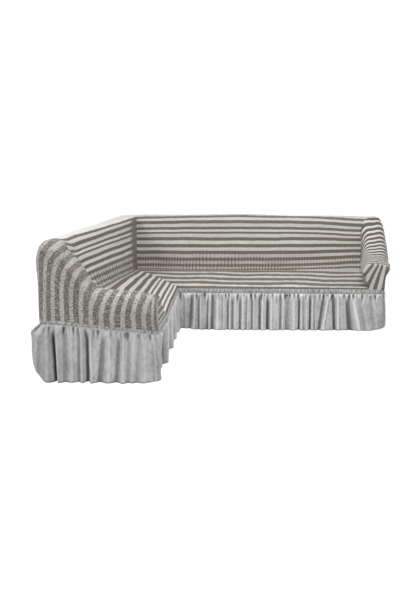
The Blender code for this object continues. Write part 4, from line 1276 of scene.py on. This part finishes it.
def band_piece(loop):
    """The gathered band: small puckers all along, between two lines of stitches."""
    strip = Strip(loop, BAND_COLUMNS)
    gathers = Ripples(301, 0.014, 0.034, 30)
    wide = band_wide(loop, strip.distance)
    for level in (-0.04, *np.linspace(0.0, 1.0, 9), 1.03):
        swell = math.sin(math.pi * level) ** 0.7 if 0.0 < level < 1.0 else 0.0
        down = np.full_like(strip.distance, 0.3 * level * BAND_WIDE)
        lumps = gathers.at(strip.distance, down)
        proud = BAND_PROUD + BAND_SWELL * swell + BAND_LUMP * lumps * (0.35 + 0.65 * swell)
        if level < 0.0 or level > 1.0:
            proud = proud - BAND_TURN
        height = strip.base[:, 2] - BAND_GAP - level * wide
        # Painted shade between the puckers and painted highlight on them
        strip.row(proud, height, 0.7 * ease(0.1, 1.5, -lumps), 0.7 * ease(0.1, 1.5, lumps))
    return strip.piece("gathered_grey_band", BAND_LOOK)


def pleats(loop):
    """Troughs and crests round the skirt.

    Each has its distance under the band, its distance at the hem and how far out it stands.
    """
    marks = []
    sides = (
        (FRONT_PLEATS, lambda x: (x, FRONT_Y)),
        (END_PLEATS, lambda x: (x, 0.0)),
        (INNER_PLEATS, lambda y: (DEPTH, y)),
    )
    for table, place in sides:
        for *across, strength in table:
            trough, hem_trough, crest, hem_crest = (loop.nearest(*place(at)) for at in across)
            marks.append((trough, hem_trough, -PLEAT_SINK * strength))
            marks.append((crest, hem_crest, PLEAT_RISE * min(1.0, 0.2 + 0.8 * strength)))
    dice = np.random.default_rng(77)
    here = loop.nearest(0.0, 0.06)
    stop = here + np.mod(loop.nearest(LONG_RUN, FRONT_Y + 0.05) - here, loop.length)
    while here < stop:
        wide = HIDDEN_PLEAT_WIDTH * dice.uniform(0.6, 1.5)
        slant = dice.uniform(-0.010, 0.010)
        crest = here + wide * dice.uniform(0.3, 0.7)
        strength = dice.uniform(0.5, 1.3)
        marks.append((here, here + slant, -PLEAT_SINK * strength))
        marks.append((crest, crest + slant, PLEAT_RISE * strength))
        here += wide
    return np.array(marks)


def pleated(loop, marks, distance, level):
    """How far the skirt stands out at a level, and its painted shade and painted highlight there.

    From its trough the cloth turns up quickly over a narrow crest, then lies flat until it drops
    into the next trough.
    """
    shift = loop.apart(marks[:, 1], marks[:, 0])
    places = np.mod(marks[:, 0] + shift * level, loop.length)
    order = np.argsort(places)
    places = places[order]
    outs = marks[order, 2]
    places = np.concatenate([places[-1:] - loop.length, places, places[:1] + loop.length])
    outs = np.concatenate([outs[-1:], outs, outs[:1]])
    where = np.mod(distance, loop.length)
    index = np.clip(np.searchsorted(places, where), 1, len(places) - 1)
    low, high = places[index - 1], places[index]
    first, second = outs[index - 1], outs[index]
    wide = np.maximum(high - low, 1e-6)
    to_flat_side = second > first
    past_trough = np.where(to_flat_side, where - low, high - where)
    past_crest = wide - past_trough
    steep = ease(0.05, 0.95, past_trough / wide)
    shoulder = 1.0 - 0.42 * ease(0.0, 1.0, past_crest / np.minimum(0.012, 0.5 * wide))
    drop = ease(0.0, 1.0, past_trough / np.minimum(0.016, 0.6 * wide))
    raised = np.where(to_flat_side, shoulder * drop, steep)
    trough, crest = np.minimum(first, second), np.maximum(first, second)
    # Painted shade in the troughs and painted highlight on the crests
    hollow = (1.0 - ease(0.0, 0.55, raised)) * np.clip(-trough / PLEAT_SINK, 0.25, 1.3)
    proud = ease(0.72, 1.0, raised) * np.clip(crest / PLEAT_RISE, 0.3, 1.0)
    return trough + (crest - trough) * raised, hollow, proud


def hem_stand(loop, distance):
    """How far the hem stands out at each of the distances."""
    at = np.array([loop.nearest(x, y) for x, y, _ in HEM_STAND])
    order = np.argsort(at)
    stand = np.array([row[2] for row in HEM_STAND])[order]
    return np.interp(np.mod(distance, loop.length), at[order], stand, period=loop.length)


def near(loop, distance, place, reach):
    """1 at a place on the loop, fading to 0 past its reach."""
    return np.exp(-((loop.apart(distance, place) / reach) ** 2))


def hem_lift(loop, distance):
    """How much higher the hem hangs: at the free end's rear corner and at the far front corner."""
    past = loop.apart(distance, loop.nearest(0.0, 0.0))
    reach = np.where(past < 0.0, END_LIFT_REACH, SIDE_LIFT_REACH)
    far = near(loop, distance, loop.nearest(LONG_RUN, FRONT_Y), FAR_CORNER_REACH)
    return END_CORNER_LIFT * np.exp(-((past / reach) ** 2)) + FAR_CORNER_LIFT * far


def skirt_shading(loop, distance):
    """Round the skirt: how strong its painted shade and highlight are, where it has painted light
    and where extra painted shade.
    """
    from_middle = np.abs(loop.apart(distance, loop.nearest(0.5 * DEPTH, 0.0)))
    on_end = 1.0 - ease(0.5 * DEPTH - 0.02, 0.5 * DEPTH + 0.10, from_middle)
    lit = near(loop, distance, loop.nearest(DEPTH, 0.5 * FRONT_Y), INNER_LIT_REACH)
    shaded = sum(
        amount * near(loop, distance, loop.nearest(x, y), reach)
        for x, y, reach, amount in SHADED_PLACES
    )
    return 1.0 - END_SOFTNESS * on_end, lit, shaded


def skirt_piece(loop):
    """The gathered skirt, its hem turned up on the inside."""
    strip = Strip(loop, SKIRT_COLUMNS)
    distance = strip.distance
    marks = pleats(loop)
    gathers = Ripples(401, 0.022, 0.055, 30)
    broad = Ripples(402, 0.10, 0.30)
    at_end_corner = near(loop, distance, loop.nearest(0.0, 0.0), END_CORNER_REACH)
    stand = hem_stand(loop, distance)
    contrast, on_inner, shaded = skirt_shading(loop, distance)
    from_inner_corner = np.abs(loop.apart(distance, loop.nearest(DEPTH, FRONT_Y)))
    calm = 0.35 + 0.65 * ease(0.02, 0.10, from_inner_corner)
    top_line = strip.base[:, 2] - BAND_GAP - band_wide(loop, distance) - SKIRT_UNDER
    hem_line = HEM_HEIGHT + hem_lift(loop, distance)
    hanging = [(level, 0.0) for level in np.linspace(0.0, 1.0, SKIRT_ROWS) ** 1.15]
    for level, inside in (*hanging, *HEM_TURNED):
        # Pleats grow from the band down, and small gathers fade under it
        grow = 0.10 + 0.75 * float(ease(0.0, 0.25, level)) + 0.15 * level
        out_by, hollow, crest = pleated(loop, marks, distance, level)
        begun = float(ease(0.0, 0.045, level))
        caps = begun * gathers.at(distance, 0.05 * level) * math.exp(-((level / 0.14) ** 1.5))
        soft = SKIRT_SOFT * broad.at(distance, 0.3 * level) * level
        # How far out: the flare to the hem, and the lobe at the free end's rear corner
        swell = 1.0 + 0.10 * level**2 - 0.30 * float(ease(0.72, 1.10, level))
        bulge = END_CORNER_BULGE * at_end_corner * float(ease(-0.02, 0.17, level)) * swell
        flare = 0.001 + 0.007 * begun + stand * level * (1.0 - 0.7 * at_end_corner) + bulge
        away = flare + begun * grow * out_by * calm + SKIRT_LUMP * caps + soft - inside
        # How dark its hollows and how pale its crests are
        # Painted shade in its hollows and under its gathers, painted highlight on crests, gathers
        # and the inner side
        deep = (0.7 + 0.3 * contrast) * (grow * hollow * calm + ease(0.1, 1.0, -caps))
        lit = 0.85 * on_inner * math.exp(-((level / 0.45) ** 2))
        proud = np.clip(grow * crest * calm + ease(0.05, 0.8, caps) + lit, 0.0, 1.0)
        height = top_line + (hem_line - top_line) * level
        strip.row(away, height, np.clip(deep + shaded * begun, 0.0, 1.2), contrast * proud)
    return strip.piece("gathered_grey_skirt", SKIRT_LOOK)


def dress():
    """Makes every cloth and puts it in place of its solid."""
    long_cloth, long_points = section_piece(
        "long_section_striped_cloth", RIGHT, LONG_COLUMNS, to_long, 101, -1.0
    )
    short_cloth, short_points = section_piece(
        "short_section_striped_cloth", LEFT, SHORT_COLUMNS, to_short, 201, 1.0
    )
    right_cloth, right_points = right_arm()
    left_cloth, left_points = left_arm()
    right_front, right_front_points = arm_front(
        "right_arm_front_panel", RIGHT, long_points, to_long, 1.0
    )
    left_front, left_front_points = arm_front(
        "left_arm_front_panel", LEFT, short_points, to_short, -1.0
    )
    edge = plan_loop(
        long_points, right_points, right_front_points, short_points, left_points, left_front_points
    )
    loop = Loop(edge)
    band = band_piece(loop)
    skirt = skirt_piece(loop)
    striped = (
        (long_cloth, ("long_section_cloth",), (1.78, 2.76), 4.04),
        (short_cloth, ("short_section_cloth",), (1.78, 2.10), 2.68),
        (right_cloth, ("right_arm_cloth",), (0.62, 1.34), 0.62),
        (left_cloth, ("left_arm_inner_cloth", "left_arm_end_cloth"), (0.62, 1.34), 0.61),
        (right_front, ("right_arm_front",), (0.27, 0.27), 0.063),
        (left_front, ("left_arm_front",), (0.40, 0.26), 0.072),
    )
    for piece, nodes, flat, area in striped:
        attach(piece, "root")
        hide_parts(*nodes)
    for piece, kind, slot, flat in (
        (band, "gathered_band", "band_cloth", (0.045, 10.2)),
        (skirt, "gathered_skirt", "skirt_cloth", (0.36, 13.4)),
    ):
        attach(piece, "root")
        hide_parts(*(f"{kind}_{place}" for place in LENGTHS))


def shown_apart(around, shown, output):
    """Lets the camera see one shader where everything else is lit by another."""
    camera_ray = around.node("ShaderNodeLightPath")
    either = around.node("ShaderNodeMixShader", i0=camera_ray, i1=around, i2=shown)
    plug(around.tree.nodes[output], Surface=either)


def floor_and_light():
    """A plain pale floor and soft light from above and in front."""
    white = (1.0, 1.0, 1.0, 1.0)
    matt = {"Roughness": 1.0, "Specular_IOR_Level": 0.0}
    reach = 30.0
    corners = [(-reach, -reach, 0), (reach, -reach, 0), (reach, reach, 0), (-reach, reach, 0)]
    mesh = bpy.data.meshes.new("floor")
    mesh.from_pydata(corners, [], [(0, 1, 2, 3)])
    pale = bpy.data.materials.new("pale_floor")
    pale.use_nodes = True
    tree = pale.node_tree
    plug(tree.nodes["Principled BSDF"], Base_Color=(0.70, 0.70, 0.70, 1.0), **matt)
    around = Flow(tree, tree.nodes["Principled BSDF"].outputs[0])
    glow = {"Emission_Color": white, "Emission_Strength": FLOOR_GLOW}
    shown = around.node(
        "ShaderNodeBsdfPrincipled", Base_Color=(0.25, 0.25, 0.25, 1.0), **matt, **glow
    )
    shown_apart(around, shown, "Material Output")
    mesh.materials.append(pale)
    floor = bpy.data.objects.new("floor", mesh)
    bpy.context.scene.collection.objects.link(floor)

    world = bpy.data.worlds.new("studio")
    world.use_nodes = True
    tree = world.node_tree
    plug(tree.nodes["Background"], Color=white, Strength=1.0)
    shown = Flow(tree, tree.nodes["Background"].outputs[0])
    around = shown.node("ShaderNodeBackground", Color=white, Strength=AROUND)
    shown_apart(around, shown, "World Output")
    bpy.context.scene.world = world
    bpy.context.scene.view_settings.view_transform = "Standard"

    aim = Vector((0.0, 0.0, 0.3))
    for name, place, size, power in LAMPS:
        lamp = bpy.data.lights.new(name, "AREA")
        lamp.size = size
        lamp.energy = power
        light = bpy.data.objects.new(name, lamp)
        turn = (aim - Vector(place)).to_track_quat("-Z", "Y")
        light.matrix_world = Matrix.Translation(place) @ turn.to_matrix().to_4x4()
        bpy.context.scene.collection.objects.link(light)


def camera():
    """Stands in front of the long section, a little right of the middle, looking slightly down."""
    focal, across, down = 511.096, 232.25, 285.055
    wide, tall = 401.0, 601.0
    yaw, pitch = math.radians(2.808), math.radians(12.989)
    place = np.array([1.49418, -3.27531, 1.45835]) + PLACE
    right = Vector((math.cos(yaw), math.sin(yaw), 0.0))
    level = Vector((-math.sin(yaw), math.cos(yaw), 0.0))
    ahead = level * math.cos(pitch) - Vector((0, 0, 1)) * math.sin(pitch)
    up = right.cross(ahead)
    data = bpy.data.cameras.new("camera")
    data.sensor_width = 36.0
    data.lens = focal * 36.0 / tall
    data.shift_x = (0.5 * wide - across) / tall
    data.shift_y = (down - 0.5 * tall) / tall
    made = bpy.data.objects.new("camera", data)
    turn = Matrix((right, up, -ahead)).transposed().to_4x4()
    made.matrix_world = Matrix.Translation(place) @ turn
    bpy.context.scene.collection.objects.link(made)
    bpy.context.scene.camera = made


dress()
floor_and_light()
camera()
